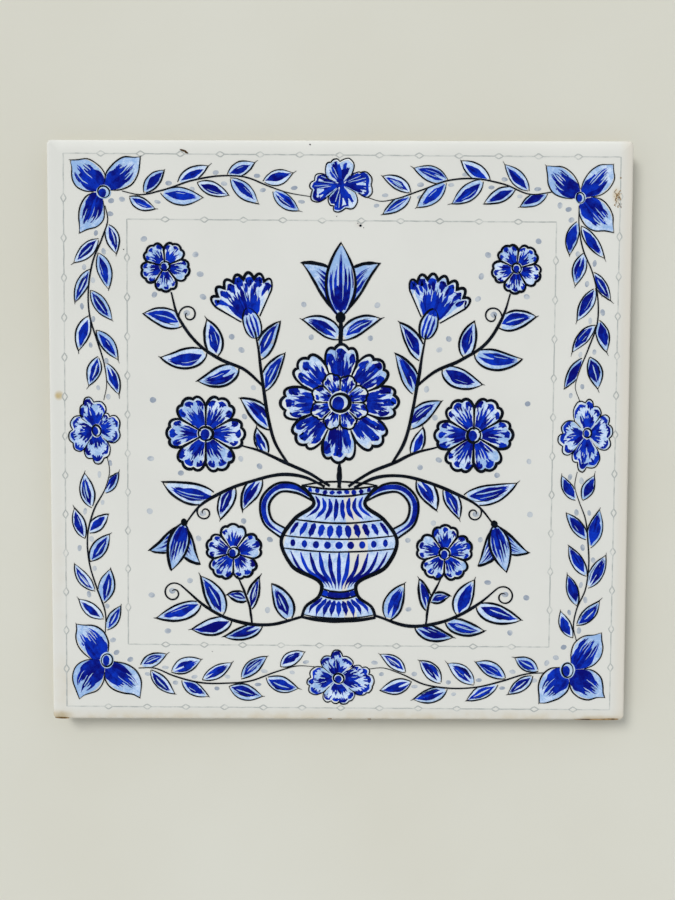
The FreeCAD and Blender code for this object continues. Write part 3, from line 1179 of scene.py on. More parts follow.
class Scalloped(Lobe):
    """A petal with a lobed rim: its reach from the hub, the number of its lobes and its way of painting."""

    reach: float
    lobes: int

    def breadth(self) -> float:
        """Return how much of the rim's length the rays take up, in millimetres."""
        raise NotImplementedError

    def paint(self, sheet: PrintSheet, rays: int, line: float, root: float, tip: float, sides: Spot,
              dabs: float = 0.86, solid: float = 0.0, touch: Touch = Touch.RAY, gap: float = 0.15) -> None:
        """Paint the petal: wash, rays from the hub, pale gaps, dabs and a sliver along the rim, outline.

        Args:
            sheet: Where to paint.
            rays: How many brush rays leave the hub.
            line: The outline's width, in millimetres.
            root: Where the painting starts, as a value of s.
            tip: Where the rays end, about, as a value of s.
            sides: The values of s down to which the outline runs at t = -1 and at t = 1.
            dabs: The odds that a lobe's rim gets a dark dab.
            solid: The value of s up to which the rays are one dark ground.
            touch: How a ray is drawn.
            gap: The tone of the pale gaps along both sides.
        """
        hand = sheet.hand
        t = np.linspace(-0.96, 0.96, 26)
        inner, outer = (self.at(np.full(26, s), t) for s in (root, 0.965))
        sheet.patch(Coat.WASH, inner, outer, hand.near(0.5, 0.25))
        if solid > root:
            self.fill(sheet, Coat.COBALT, (root, solid), (-0.68, 0.68), hand.near(*CORE_TONE), 8)
        leans = np.linspace(-0.66, 0.66, rays)
        self.paint_rays(sheet, leans, root, tip, touch)
        for lean in 0.5 * (leans[1:] + leans[:-1]):
            if hand.rng.random() < 0.45:
                ends = (hand.near(root + 0.24, 0.08), hand.near(tip - 0.06, 0.06))
                slit = self.run(ends, (lean, lean), 8)
                sheet.hair(Coat.GLINT, slit, (0.18, 0.05), (0.8, 0.2), Touch.RAY_SLIT)
        for side in (-1.0, 1.0):
            ends = (max(root, 0.2), hand.near(0.84, 0.08))
            band = (hand.near(0.82, 0.05) * side, 0.97 * side)
            self.fill(sheet, Coat.GLINT, ends, band, hand.near(gap, 0.15), 8)
        t = np.linspace(hand.near(-0.1, 0.35), 0.95, 24) * hand.side()
        rim = self.at(0.945 + 0.012 * hand.waver(24, 1.6), t)
        width = hand.near(0.062, 0.02) * self.reach
        sheet.stroke(Coat.GLINT, rim, width, hand.near(0.3, 0.2), Touch.RIM_SLIVER)
        for number in range(self.lobes):
            if hand.rng.random() < dabs:
                middle = hand.near(-1.0 + (2.0 * number + 1.0) / self.lobes, 0.03)
                self.dab(sheet, middle, hand.near(0.6 + 0.36 * solid / 0.46, 0.12) / self.lobes)
        count = 12 * self.lobes + 1
        edge = np.concatenate([self.run((sides[0], 1.0), (-1.0, -1.0), 8)[:-1],
                               self.at(np.ones(count), np.linspace(-1.0, 1.0, count)),
                               self.run((1.0, sides[1]), (1.0, 1.0), 8)[1:]])
        keep = np.concatenate([[True], np.hypot(*np.diff(edge, axis=0).T) > 0.02])
        sheet.stroke(Coat.INK, edge[keep], line, INK_TONE, Touch.RIM)

    def paint_rays(self, sheet: PrintSheet, leans: np.ndarray, root: float, tip: float,
                   touch: Touch) -> None:
        """Draw dark rays from the hub, each with a hair beside it that runs on a little.

        Args:
            sheet: Where to paint.
            leans: The rays' values of t.
            root: Where they start, as a value of s.
            tip: Where they end, about, as a value of s.
            touch: How a ray is drawn.
        """
        hand = sheet.hand
        full = self.breadth() / len(leans)
        for lean in leans:
            end = hand.near(tip - 0.1 * abs(lean), 0.09)
            path = self.run((root - 0.04, end), (lean, hand.near(lean, 0.06)), 10)
            sheet.hair(Coat.COBALT, path, (full, 0.2 * full), COBALT_TONE, touch)
            side = hand.near(lean, 0.14)
            path = self.run((0.4, hand.near(end + 0.06, 0.06)), (side, side), 8)
            sheet.stroke(Coat.COBALT, path, 0.3 * full, hand.near(*COBALT_TONE), Touch.RAY_HAIR)

    def dab(self, sheet: PrintSheet, middle: float, half: float) -> None:
        """Lay a dark dab along a lobe's rim, with a few hairs drawn inwards from it.

        Args:
            sheet: Where to paint.
            middle: The value of t in the dab's middle.
            half: Half its length, in t.
        """
        hand = sheet.hand
        t = np.linspace(max(middle - half, -0.93), min(middle + half, 0.93), 11)
        rim = hand.near(0.87, 0.02) + 0.02 * hand.waver(11, 0.8)
        width = hand.near(0.125, 0.025) * self.reach
        sheet.stroke(Coat.COBALT, self.at(rim, t), width, hand.near(*COBALT_TONE), Touch.RIM)
        for lean in (-0.6, 0.0, 0.6):
            side = float(np.clip(hand.near(middle + lean * half, 0.05), -0.86, 0.86))
            hair = self.run((0.87, hand.near(0.74, 0.06)), (side, 0.9 * side), 6)
            tone = hand.near(*COBALT_TONE)
            sheet.stroke(Coat.COBALT, hair, 0.055 * self.reach, tone, Touch.DAB_HAIR)


@dataclass
class Fan(Scalloped):
    """A scalloped petal with even lobes round a hub.

    A point lies at the angle of the petal's heading plus t times its spread, at s times the rim's distance.
    The rim falls off with the cube of t, to a notch at both sides, and rises over each lobe as the cosine
    does.
    """

    hub: Spot
    heading: float
    reach: float
    spread: float
    lobes: int = 3
    scallop: float = 0.09
    fall: float = 0.36
    place: Place = Place()

    def breadth(self) -> float:
        """Return half the length of the rim's arc, in millimetres."""
        return math.radians(self.spread) * self.reach

    def at(self, s: np.ndarray, t: np.ndarray) -> Curve:
        """Work out points of the fan, as its class says.

        Args:
            s: Shares of the way from base to tip.
            t: Shares of the way from the middle to an edge.

        Returns:
            The points on the face, one a row.
        """
        swing = np.abs(np.cos(0.5 * np.pi * self.lobes * t)) ** 0.8
        rim = 1.0 - self.fall * np.abs(t) ** 3 - self.scallop * (1.0 - swing)
        angle = np.radians(self.heading + self.spread * t)
        far = self.reach * s * rim
        x, y = far * np.cos(angle), far * np.sin(angle)
        return self.place.of(np.stack([self.hub[0] + x, self.hub[1] + y], axis=1))


@dataclass
class Petal(Scalloped):
    """A petal drawn from its rim: notches and the crests of the lobes between them, turn by turn.

    A lobe rises from the straight line between its two notches towards its crest by one minus the cube of
    the way from its middle. A point lies at the share s of the way from the hub to the rim.
    """

    knots: tuple[Spot, ...]
    place: Place = Place()

    def __post_init__(self) -> None:
        """Take the reach and the number of lobes from the crests."""
        crests = np.asarray(self.knots)[1::2]
        self.lobes = len(crests)
        self.reach = float(np.hypot(*crests.T).mean())

    def breadth(self) -> float:
        """Return two thirds of the way from notch to notch, in millimetres."""
        return 0.66 * float(chords(self.knots[0::2])[-1])

    def at(self, s: np.ndarray, t: np.ndarray) -> Curve:
        """Work out points of the petal, as its class says.

        Args:
            s: Shares of the way from base to tip.
            t: Shares of the way from the middle to an edge.

        Returns:
            The points on the face, one a row.
        """
        knots = np.asarray(self.knots)
        turn = np.clip(0.5 * (t + 1.0) * self.lobes, 0.0, self.lobes)
        number = np.minimum(turn.astype(int), self.lobes - 1)
        share = (turn - number)[:, None]
        start, crest, end = knots[2 * number], knots[2 * number + 1], knots[2 * number + 2]
        swell = 1.0 - np.abs(2.0 * share - 1.0) ** 3.0
        rim = start + (end - start) * share + (crest - 0.5 * (start + end)) * swell
        return self.place.of(rim * s[:, None])


def ringed_eye(sheet: PrintSheet, centre: Spot, radius: float, stretch: float = 1.0,
               weight: float = 0.34, shade: float = 0.4) -> None:
    """Paint a flower's eye: pale ground with a halo, ink ring and a dark dab off the middle.

    Args:
        sheet: Where to paint.
        centre: The eye's middle.
        radius: The ring's radius, in millimetres.
        stretch: How many times as tall as wide the ring is.
        weight: The ring's width as a share of its radius.
        shade: How deep the ground's blue is.
    """
    hand = sheet.hand
    tall = stretch * radius
    sheet.dot(Coat.GLINT, centre, (1.24 * tall, 1.24 * radius), turn=90.0, tone=shade, count=13)
    sheet.ring(centre, radius, weight * radius, stretch)
    off = (hand.near(centre[0] - 0.16 * radius, 0.1 * radius),
           hand.near(centre[1] - 0.12 * tall, 0.1 * tall))
    sheet.dot(Coat.COBALT, off, (0.78 * tall, 0.64 * radius), turn=hand.near(90.0, 15.0),
              tone=0.6, lift=0.046, count=11)


# The border


@dataclass
class FrameBand:
    """A fine line round the face broken by hollow diamonds, with its half width and half height."""

    half: Spot
    diamonds: int
    pitch: float
    shift: float = 0.0
    length: float = 2.35
    width: float = 1.3
    line: float = 0.3

    def paint(self, sheet: PrintSheet) -> None:
        """Paint the four sides.

        Args:
            sheet: Where to paint.
        """
        middle = (np.arange(self.diamonds) - 0.5 * (self.diamonds - 1)) * self.pitch + self.shift
        for quarter in range(4):
            place = Place(0.0, 0.0, 90.0 * quarter)
            along, off = self.half[quarter % 2], self.half[1 - quarter % 2]
            starts = np.append(-along, middle + 0.5 * self.length)
            ends = np.append(middle - 0.5 * self.length, along)
            for start, end in zip(starts, ends):
                path = np.stack([np.linspace(start, end, 6), np.full(6, off)], axis=1)
                tone = sheet.hand.near(0.5, 0.35)
                sheet.stroke(Coat.FRAME_LINE, place.of(path), self.line, tone, Touch.FRAME)
            for spot in middle:
                self.diamond(sheet, place, (float(spot), off))

    def diamond(self, sheet: PrintSheet, place: Place, spot: Spot) -> None:
        """Paint one hollow diamond with rounded middles, whose sides curve into the line.

        Half its height is 1 less the distance from its middle to the power of 1.5, to the power of 1.4.

        Args:
            sheet: Where to paint.
            place: The side of the face.
            spot: Its middle, with that side up.
        """
        share = np.linspace(-1.0, 1.0, 13)
        rise = 0.5 * self.width * (1.0 - np.abs(share) ** 1.5) ** 1.4
        for side in (-1.0, 1.0):
            path = np.stack([spot[0] + 0.5 * self.length * share, spot[1] + side * rise], axis=1)
            tone = sheet.hand.near(0.65, 0.3)
            sheet.stroke(Coat.FRAME_LINE, place.of(path), self.line, tone, Touch.DIAMOND)


@dataclass
class CornerFlower:
    """A three-petalled flower with a ringed eye and three dots beside it.

    A petal is given by its two edges and its tip, a dot by its middle, all round the flower's own middle.
    """

    centre: Spot
    petals: tuple[tuple[tuple[Spot, ...], tuple[Spot, ...], Spot], ...]
    dots: tuple[Spot, ...]
    eye: Spot
    radius: float
    stretch: float
    fingers: int = 7
    line: float = 0.33

    def paint(self, sheet: PrintSheet) -> None:
        """Paint petals, eye and the dots towards the panel.

        Args:
            sheet: Where to paint.
        """
        hand = sheet.hand
        place = Place(*self.centre)
        for first, second, tip in self.petals:
            petal = Spade(first, second, tip, place)
            petal.paint_petal(sheet, self.fingers, self.line, root=-0.12, starts=(0.0, 0.0),
                              dark=0.65, spread=0.6)
        ringed_eye(sheet, place.spot(self.eye), self.radius, self.stretch, weight=0.24, shade=0.7)
        for spot in self.dots:
            off = place.spot(hand.pair(spot, 0.1))
            sheet.dot(Coat.DOT, off, (0.8, 0.62), turn=hand.near(45.0, 60.0), tone=hand.near(0.6, 0.3))


@dataclass
class Rosette:
    """A four-petalled rosette in the middle of a side, by the rims of its petals round its hub."""

    centre: Spot
    petals: tuple[tuple[Spot, ...], ...]
    eye: Spot = (0.0, 0.0)
    radius: float = 0.0
    stretch: float = 1.0
    rays: int = 7
    line: float = 0.32

    def paint(self, sheet: PrintSheet) -> None:
        """Paint the petals and the eye; without an eye's ring the rays fill nearly the whole petal.

        Args:
            sheet: Where to paint.
        """
        hand = sheet.hand
        place = Place(*self.centre)
        for knots in self.petals:
            petal = Petal(knots, place)
            sides = (hand.near(0.9, 0.06), hand.near(0.6, 0.12))
            if self.radius > 0.0:
                petal.paint(sheet, self.rays, self.line, root=0.2, tip=hand.near(0.66, 0.05), sides=sides,
                            dabs=1.0, solid=0.46, touch=Touch.BROAD_RAY, gap=0.7)
            else:
                petal.paint(sheet, self.rays, self.line, root=0.06, tip=hand.near(0.84, 0.04), sides=sides,
                            dabs=0.75, solid=0.7, touch=Touch.BLUNT_RAY, gap=0.75)
        if self.radius > 0.0:
            ringed_eye(sheet, place.spot(self.eye), self.radius, self.stretch)
            return
        sheet.dot(Coat.COBALT, self.centre, (1.5, 1.3), turn=hand.near(0.0, 90.0), tone=0.6, lift=0.02,
                  count=11)
        for angle in (20.0, 140.0, 250.0):
            fleck = spiral(self.centre, (0.8, 1.5), hand.near(angle, 20.0), 10.0, 6)
            sheet.stroke(Coat.GLINT, fleck, width=0.26, tone=0.3, touch=Touch.EYE_FLECK, lift=0.01)


@dataclass
class Garland:
    """Half a side's leafy stem, from a rosette to a corner flower, laid out for the right half of the top.

    A leaf is given by its base at the stem, its tip and half its width, which is drawn fuller by a factor.
    The core is half the width of the leaves' dark cores, as a share of the leaf's, and slits the share of
    the leaves whose core is split.
    """

    stem: tuple[Spot, ...]
    outer: tuple[tuple[Spot, Spot, float], ...]
    inner: tuple[tuple[Spot, Spot, float], ...]
    dots: tuple[Spot, ...]
    line: float = 0.4
    leaf_line: float = 0.34
    gap: float = 0.2
    fuller: float = 1.13
    core: float = 0.57
    slits: float = 0.5

    def paint(self, sheet: PrintSheet, place: Place) -> None:
        """Paint stem, leaves and dots.

        Args:
            sheet: Where to paint.
            place: The side of the tile, mirrored for its left half.
        """
        hand = sheet.hand
        stem = curve_through(self.stem, 60)
        sheet.stroke(Coat.INK, place.of(stem[::-1]), self.line, 0.6, Touch.GARLAND_STEM)
        split = (Core.SLIT, Core.SLIT, Core.TWIN)
        for number, (base, tip, half) in enumerate(self.outer + self.inner):
            lean = 1.0 if number < len(self.outer) else -1.0
            leaf = Blade(base, tip, self.fuller * half, bow=hand.near(-0.02, 0.04) * lean, heel=0.95,
                         point=1.1, place=place, fence=stem, gap=self.gap * lean)
            core = Core.WHOLE
            if hand.rng.random() < self.slits:
                core = split[int(hand.rng.integers(len(split)))]
            leaf.paint_leaf(sheet, core, self.leaf_line, self.core)
        for x, y in self.dots:
            spot = place.spot((hand.near(x, 0.15), hand.near(y, 0.1)))
            sheet.dot(Coat.DOT, spot, (hand.near(0.78, 0.12), hand.near(0.52, 0.07)),
                      turn=hand.near(place.turn, 14.0), tone=hand.near(0.45, 0.3))


@dataclass
class Border:
    """The ornamental border: two frame lines with flowers, rosettes and garlands between them.

    The garlands are listed by side, anticlockwise from the top, the right half of each side first as seen
    from the middle with that side up.
    """

    outer: FrameBand = field(default_factory=lambda: FrameBand((71.0, 71.35), 13, 10.13, -0.65))
    inner: FrameBand = field(default_factory=lambda: FrameBand((54.85, 54.85), 10, 10.02))
    garlands: tuple[Garland, ...] = (
        Garland(
            ((6.6, 60.7), (9.8, 59.8), (13.6, 60.4), (20.0, 62.6), (27.0, 65.1), (34.0, 65.6),
             (41.0, 64.4), (48.4, 61.8), (53.4, 62.4)),
            (((47.7, 62.6), (41.4, 69.3), 1.55), ((37.8, 65.2), (30.2, 70.2), 1.7),
             ((27.1, 64.9), (18.2, 68.2), 1.75), ((17.6, 62.0), (10.3, 66.1), 1.4)),
            (((52.5, 62.0), (45.4, 58.6), 1.35), ((44.4, 63.3), (36.2, 59.3), 1.5),
             ((36.0, 65.4), (28.0, 59.3), 1.8), ((26.6, 64.8), (19.0, 58.2), 1.8),
             ((17.6, 61.2), (10.4, 56.5), 1.3)),
            ((8.9, 58.6), (11.1, 61.3), (20.0, 64.0), (20.0, 61.0), (27.8, 64.0), (31.4, 66.7),
             (38.1, 63.4), (41.3, 65.5), (45.3, 61.2), (49.9, 63.2)),
            slits=0.3,
        ),
        Garland(
            ((8.0, 60.9), (13.8, 61.8), (18.5, 63.3), (24.5, 65.6), (31.0, 65.9), (38.0, 64.8),
             (46.0, 62.1), (51.4, 61.0), (56.0, 61.9)),
            (((50.4, 61.4), (45.2, 67.3), 1.5), ((41.9, 64.3), (34.0, 68.4), 1.5),
             ((29.2, 66.3), (22.2, 69.3), 1.55), ((20.1, 64.6), (12.4, 66.8), 1.7)),
            (((54.2, 60.6), (47.6, 57.5), 1.35), ((46.2, 61.5), (35.4, 60.4), 1.95),
             ((36.9, 64.2), (28.8, 61.0), 1.5), ((28.5, 65.4), (21.2, 58.9), 1.7),
             ((17.6, 62.4), (10.8, 57.2), 1.55)),
            ((10.4, 59.5), (12.2, 63.0), (20.2, 62.4), (21.7, 65.9), (29.9, 64.0), (32.1, 66.7),
             (38.2, 62.6), (44.1, 63.9), (46.9, 59.3)),
            slits=0.3,
        ),
        Garland(
            ((8.7, 61.0), (12.4, 60.2), (18.0, 60.8), (24.0, 62.6), (30.0, 64.4), (37.0, 64.8),
             (44.0, 63.6), (50.4, 61.0), (54.8, 59.7), (58.2, 60.4)),
            (((49.9, 62.1), (43.6, 68.5), 1.5), ((42.1, 64.3), (33.6, 68.2), 1.3),
             ((30.2, 64.7), (21.3, 67.4), 1.6), ((19.9, 62.4), (12.3, 64.8), 1.55)),
            (((53.6, 59.8), (46.0, 57.6), 1.5), ((46.3, 62.2), (37.0, 59.6), 1.6),
             ((36.8, 64.2), (29.1, 58.7), 1.5), ((26.6, 62.8), (19.0, 57.2), 1.5),
             ((18.2, 60.3), (10.1, 57.0), 1.4)),
            ((9.5, 59.8), (11.7, 62.3), (18.9, 60.2), (22.8, 64.2), (29.5, 63.5), (32.7, 66.4),
             (39.2, 63.5), (42.7, 65.9), (46.6, 60.9), (51.2, 62.7)),
        ),
        Garland(
            ((6.0, 60.1), (9.6, 59.5), (13.4, 60.4), (19.6, 63.6), (26.0, 65.3), (33.0, 65.0),
             (40.0, 63.0), (47.0, 60.8), (52.0, 60.9)),
            (((48.2, 61.2), (43.0, 67.8), 1.45), ((40.9, 63.4), (33.8, 68.8), 1.3),
             ((27.2, 66.0), (19.2, 68.7), 1.4), ((19.2, 64.2), (10.2, 66.0), 1.65)),
            (((51.2, 60.4), (44.7, 56.8), 1.3), ((44.2, 61.4), (35.0, 59.4), 1.85),
             ((33.2, 64.7), (26.0, 59.6), 1.7), ((25.8, 65.1), (20.8, 59.9), 1.45),
             ((15.4, 60.9), (9.9, 57.2), 1.2)),
            ((7.5, 59.3), (10.4, 62.2), (17.9, 61.3), (20.1, 66.0), (27.2, 64.3), (29.8, 67.5),
             (34.9, 63.5), (41.7, 65.0), (44.9, 60.4)),
        ),
        Garland(
            ((6.0, 60.5), (10.8, 60.3), (16.0, 61.7), (23.4, 64.4), (30.0, 65.0), (36.0, 64.9),
             (43.0, 63.1), (48.4, 61.0), (52.2, 61.1)),
            (((49.0, 61.6), (42.7, 67.9), 1.4), ((41.0, 64.3), (33.9, 68.5), 1.45),
             ((28.6, 65.8), (19.8, 68.4), 1.8), ((18.9, 63.4), (10.4, 66.2), 1.8)),
            (((51.8, 60.5), (44.9, 57.4), 1.45), ((43.7, 62.1), (35.8, 58.7), 1.75),
             ((35.6, 64.1), (27.8, 59.5), 1.45), ((25.4, 63.8), (18.6, 57.8), 1.5),
             ((15.2, 60.5), (8.8, 56.6), 1.55)),
            ((8.6, 59.2), (12.0, 62.1), (19.3, 61.7), (20.9, 65.2), (29.1, 63.2), (31.6, 66.4),
             (37.5, 63.4), (42.5, 65.0), (45.2, 61.0), (49.9, 62.7)),
            core=0.64, slits=0.8,
        ),
        Garland(
            ((7.6, 61.0), (11.6, 60.6), (16.0, 62.0), (22.6, 65.0), (29.0, 65.9), (36.0, 65.6),
             (43.0, 63.8), (49.0, 62.0), (53.8, 61.7)),
            (((50.8, 62.5), (44.3, 67.4), 1.4), ((41.7, 64.9), (33.5, 69.2), 1.5),
             ((28.5, 66.2), (19.6, 68.9), 1.65), ((19.1, 64.2), (10.9, 66.6), 1.7)),
            (((52.2, 61.2), (45.9, 57.7), 1.5), ((43.6, 63.3), (35.7, 58.9), 1.65),
             ((35.4, 65.0), (28.4, 59.3), 1.75), ((26.7, 64.7), (21.0, 58.6), 1.7),
             ((17.5, 61.9), (10.8, 57.1), 1.4)),
            ((9.3, 59.3), (11.2, 62.4), (19.7, 62.3), (20.0, 65.5), (28.8, 64.4), (30.0, 67.5),
             (36.8, 63.7), (42.8, 65.7), (45.6, 61.5), (51.2, 63.7)),
            core=0.64, slits=0.8,
        ),
        Garland(
            ((9.0, 61.4), (12.6, 60.8), (16.6, 61.9), (20.6, 63.5), (27.5, 64.5), (34.0, 64.8),
             (39.6, 64.1), (45.0, 61.8), (49.6, 61.1), (53.2, 62.0)),
            (((49.0, 61.9), (42.5, 67.8), 1.4), ((39.3, 64.8), (30.6, 69.2), 1.6),
             ((28.8, 65.2), (18.8, 67.3), 1.65), ((16.4, 62.9), (9.9, 65.8), 1.35)),
            (((52.4, 61.0), (45.3, 57.7), 1.3), ((44.0, 61.9), (35.7, 59.3), 1.3),
             ((36.2, 64.4), (28.2, 59.5), 1.4), ((26.7, 64.3), (19.6, 58.7), 1.35),
             ((16.4, 61.3), (10.0, 57.4), 1.25)),
            ((10.4, 59.5), (11.2, 62.4), (19.4, 61.4), (19.6, 64.6), (28.6, 63.1), (32.0, 66.0),
             (38.4, 62.8), (42.3, 64.2), (45.8, 60.0), (50.5, 62.6)),
            line=0.36, core=0.78,
        ),
        Garland(
            ((9.1, 61.7), (12.8, 60.4), (16.6, 61.3), (22.6, 63.6), (29.0, 65.7), (35.0, 65.8),
             (42.0, 64.3), (48.4, 61.6), (53.4, 60.7), (59.0, 60.5)),
            (((53.9, 61.1), (45.7, 67.3), 1.3), ((42.2, 64.6), (35.0, 69.1), 1.25),
             ((30.0, 66.3), (21.8, 68.3), 1.45), ((20.6, 64.0), (12.4, 66.2), 1.65)),
            (((55.2, 60.4), (46.4, 58.3), 1.35), ((47.2, 62.2), (38.7, 59.9), 1.5),
             ((38.2, 65.1), (29.8, 60.5), 1.5), ((28.8, 65.4), (21.8, 59.5), 1.3),
             ((20.4, 62.2), (12.4, 57.6), 1.3)),
            ((10.6, 59.3), (13.0, 62.2), (21.1, 61.5), (22.0, 65.1), (29.9, 64.0), (31.9, 67.2),
             (39.1, 62.9), (44.6, 64.8), (46.7, 60.4)),
            line=0.36, core=0.78,
        ),
    )
    flowers: tuple[CornerFlower, ...] = (
        CornerFlower((61.1, 60.8), (
            (((-0.6, -1.8), (-0.4, -4.0), (1.0, -6.6), (3.4, -8.1), (6.4, -8.1)),
             ((2.9, 0.4), (4.8, 0.0), (6.9, -1.9), (8.1, -4.4), (8.2, -6.8)), (8.4, -8.5)),
            (((-0.2, 2.4), (0.4, 4.2), (2.2, 7.0), (4.6, 8.5), (6.4, 8.6)),
             ((2.4, 0.5), (4.8, 0.9), (7.2, 2.8), (8.3, 5.2), (8.0, 7.2)), (8.0, 8.7)),
            (((-0.4, 2.4), (-0.9, 4.0), (-2.9, 6.7), (-5.2, 8.0), (-7.4, 8.1)),
             ((-2.3, 0.0), (-4.6, 0.2), (-7.0, 1.2), (-8.4, 3.2), (-8.8, 6.0)), (-9.2, 8.2)),
        ), ((-5.5, -1.8), (-3.2, -2.8), (-2.4, -5.3)), (-0.3, 0.2), 1.1, 1.15),
        CornerFlower((-60.5, 61.8), (
            (((0.1, 2.4), (0.4, 4.4), (2.4, 7.1), (5.0, 8.7), (7.4, 8.6)),
             ((1.2, 0.3), (4.0, 0.4), (7.0, 1.9), (8.6, 4.6), (9.0, 7.0)), (9.2, 8.8)),
            (((0.1, 2.4), (0.1, 4.2), (-1.9, 6.9), (-4.4, 8.2), (-6.6, 7.9)),
             ((-2.8, -0.1), (-4.9, 0.1), (-7.4, 1.4), (-8.3, 3.6), (-8.3, 6.0)), (-8.7, 7.8)),
            (((-2.8, -0.3), (-4.4, -1.1), (-6.1, -3.4), (-6.6, -6.4), (-6.4, -8.8)),
             ((-0.4, -2.3), (-0.1, -4.6), (-0.3, -7.2), (-1.8, -8.8), (-4.4, -9.6)), (-6.5, -10.6)),
        ), ((1.7, -2.3), (4.4, -2.0), (1.5, -5.6)), (-0.2, -0.1), 1.5, 0.95),
        CornerFlower((-60.8, -58.9), (
            (((0.6, 2.0), (0.7, 4.8), (-0.5, 7.3), (-2.8, 8.8), (-5.4, 9.0)),
             ((-3.4, -0.2), (-5.0, 1.0), (-7.2, 3.6), (-7.8, 6.2), (-7.5, 8.0)), (-7.6, 9.3)),
            (((-3.4, 0.1), (-5.4, -0.3), (-7.8, -1.9), (-8.7, -4.8), (-7.8, -8.0)),
             ((-0.3, -3.4), (-0.5, -5.6), (-2.0, -8.0), (-4.2, -9.0), (-5.8, -9.6)), (-6.9, -10.5)),
            (((-0.3, -3.4), (-0.1, -5.4), (1.6, -7.7), (4.4, -8.8), (7.2, -9.2)),
             ((2.1, -0.5), (5.0, -1.1), (7.9, -2.8), (9.3, -5.8), (9.1, -8.4)), (8.9, -10.1)),
        ), ((1.9, 5.1), (2.9, 1.9), (6.5, 0.0)), (0.35, -0.2), 1.4, 1.25),
        CornerFlower((59.5, -61.0), (
            (((-1.7, 0.8), (-4.2, 0.5), (-6.4, -1.5), (-7.2, -4.2), (-7.0, -6.6)),
             ((0.9, -3.0), (0.5, -5.1), (-1.2, -7.0), (-3.6, -8.1), (-5.2, -8.6)), (-7.0, -8.7)),
            (((0.9, -3.0), (1.3, -5.0), (3.2, -7.0), (5.8, -7.7), (8.2, -7.1)),
             ((4.6, 0.5), (6.8, 0.1), (9.0, -1.7), (9.6, -4.2), (9.8, -6.0)), (10.2, -7.1)),
            (((1.2, 2.0), (1.1, 4.4), (2.2, 7.5), (4.4, 9.1), (7.2, 9.5)),
             ((4.6, 0.5), (6.6, 1.2), (8.8, 3.4), (9.4, 6.0), (9.1, 8.2)), (9.0, 10.0)),
        ), ((-0.8, 6.2), (-2.7, 3.3), (-5.2, 1.9)), (0.3, 0.1), 1.55, 1.15),
    )
    rosettes: tuple[Rosette, ...] = (
        Rosette((-0.2, 64.0), (
            ((5.0, -2.6), (7.4, -2.8), (7.6, -0.1), (7.2, 2.5), (4.9, 3.0), (3.8, 2.9), (2.5, 1.9)),
            ((2.7, 2.5), (2.7, 6.0), (-0.4, 5.7), (-1.5, 6.3), (-2.6, 5.5), (-4.0, 4.2), (-3.3, 1.2)),
            ((-3.5, 1.4), (-5.7, 2.6), (-6.8, 0.9), (-8.0, -0.2), (-7.3, -1.4), (-6.7, -4.4), (-2.9, -2.7)),
            ((-2.9, -2.8), (-3.1, -4.7), (-1.8, -5.4), (-1.2, -7.0), (1.2, -6.0), (3.8, -5.2), (3.5, -1.9)),
        )),
        Rosette((-63.0, 1.1), (
            ((2.9, -3.0), (5.6, -2.8), (5.9, 0.0), (5.7, 2.9), (3.5, 3.3), (2.8, 4.2), (1.9, 3.6)),
            ((1.9, 3.5), (2.2, 6.4), (-0.5, 7.1), (-2.2, 8.3), (-3.2, 6.4), (-4.1, 5.0), (-3.5, 2.7)),
            ((-3.6, 3.5), (-6.2, 2.5), (-6.0, -0.1), (-7.0, -1.8), (-5.9, -3.5), (-4.8, -5.6),
             (-2.7, -4.6)),
            ((-2.4, -4.1), (-2.8, -6.6), (-0.9, -7.5), (0.5, -8.9), (2.0, -7.4), (3.6, -5.6), (2.7, -3.0)),
        ), (0.15, -0.3), 1.1, 1.3),
        Rosette((-0.4, -63.6), (
            ((4.7, -3.6), (6.2, -4.3), (7.8, -3.6), (8.8, -3.2), (9.3, -1.9), (9.6, 0.2), (8.3, 1.2),
             (8.2, 2.8), (6.5, 3.0), (5.4, 3.6), (4.1, 2.9)),
            ((4.1, 3.6), (3.6, 5.3), (1.5, 5.9), (-0.1, 7.6), (-1.6, 5.9), (-3.9, 5.3), (-3.7, 3.0)),
            ((-3.7, 3.0), (-6.4, 2.6), (-6.8, 0.3), (-7.8, -0.8), (-7.1, -1.8), (-6.5, -4.0), (-3.5, -3.6)),
            ((-3.4, -3.6), (-3.2, -5.8), (-1.4, -5.8), (-0.4, -6.5), (0.6, -6.0), (1.9, -6.7), (3.2, -5.9),
             (4.4, -5.1), (4.6, -3.6)),
        ), (0.45, 0.1), 1.35, 0.95),
        Rosette((63.6, 0.7), (
            ((3.1, -3.6), (5.7, -3.5), (5.8, -1.0), (6.7, 0.9), (5.5, 2.6), (5.3, 4.8), (3.2, 4.4)),
            ((3.0, 4.1), (3.4, 6.4), (1.6, 7.2), (0.8, 8.9), (-0.5, 8.1), (-3.0, 7.5), (-3.2, 3.4)),
            ((-3.3, 3.4), (-6.0, 2.7), (-6.1, 0.2), (-7.4, -1.3), (-6.1, -3.1), (-5.5, -5.2), (-3.4, -4.5)),
            ((-2.9, -3.9), (-3.6, -6.2), (-2.2, -7.2), (-1.4, -9.6), (0.1, -8.5), (3.1, -7.5), (2.8, -3.8)),
        ), (0.15, 0.35), 1.0, 1.25),
    )

    def paint(self, sheet: PrintSheet) -> None:
        """Paint the whole border.

        Args:
            sheet: Where to paint.
        """
        self.outer.paint(sheet)
        self.inner.paint(sheet)
        for number, garland in enumerate(self.garlands):
            garland.paint(sheet, Place(0.0, 0.0, 90.0 * (number // 2), number % 2 == 1))
        for flower in self.flowers:
            flower.paint(sheet)
        for rosette in self.rosettes:
            rosette.paint(sheet)


# The panel


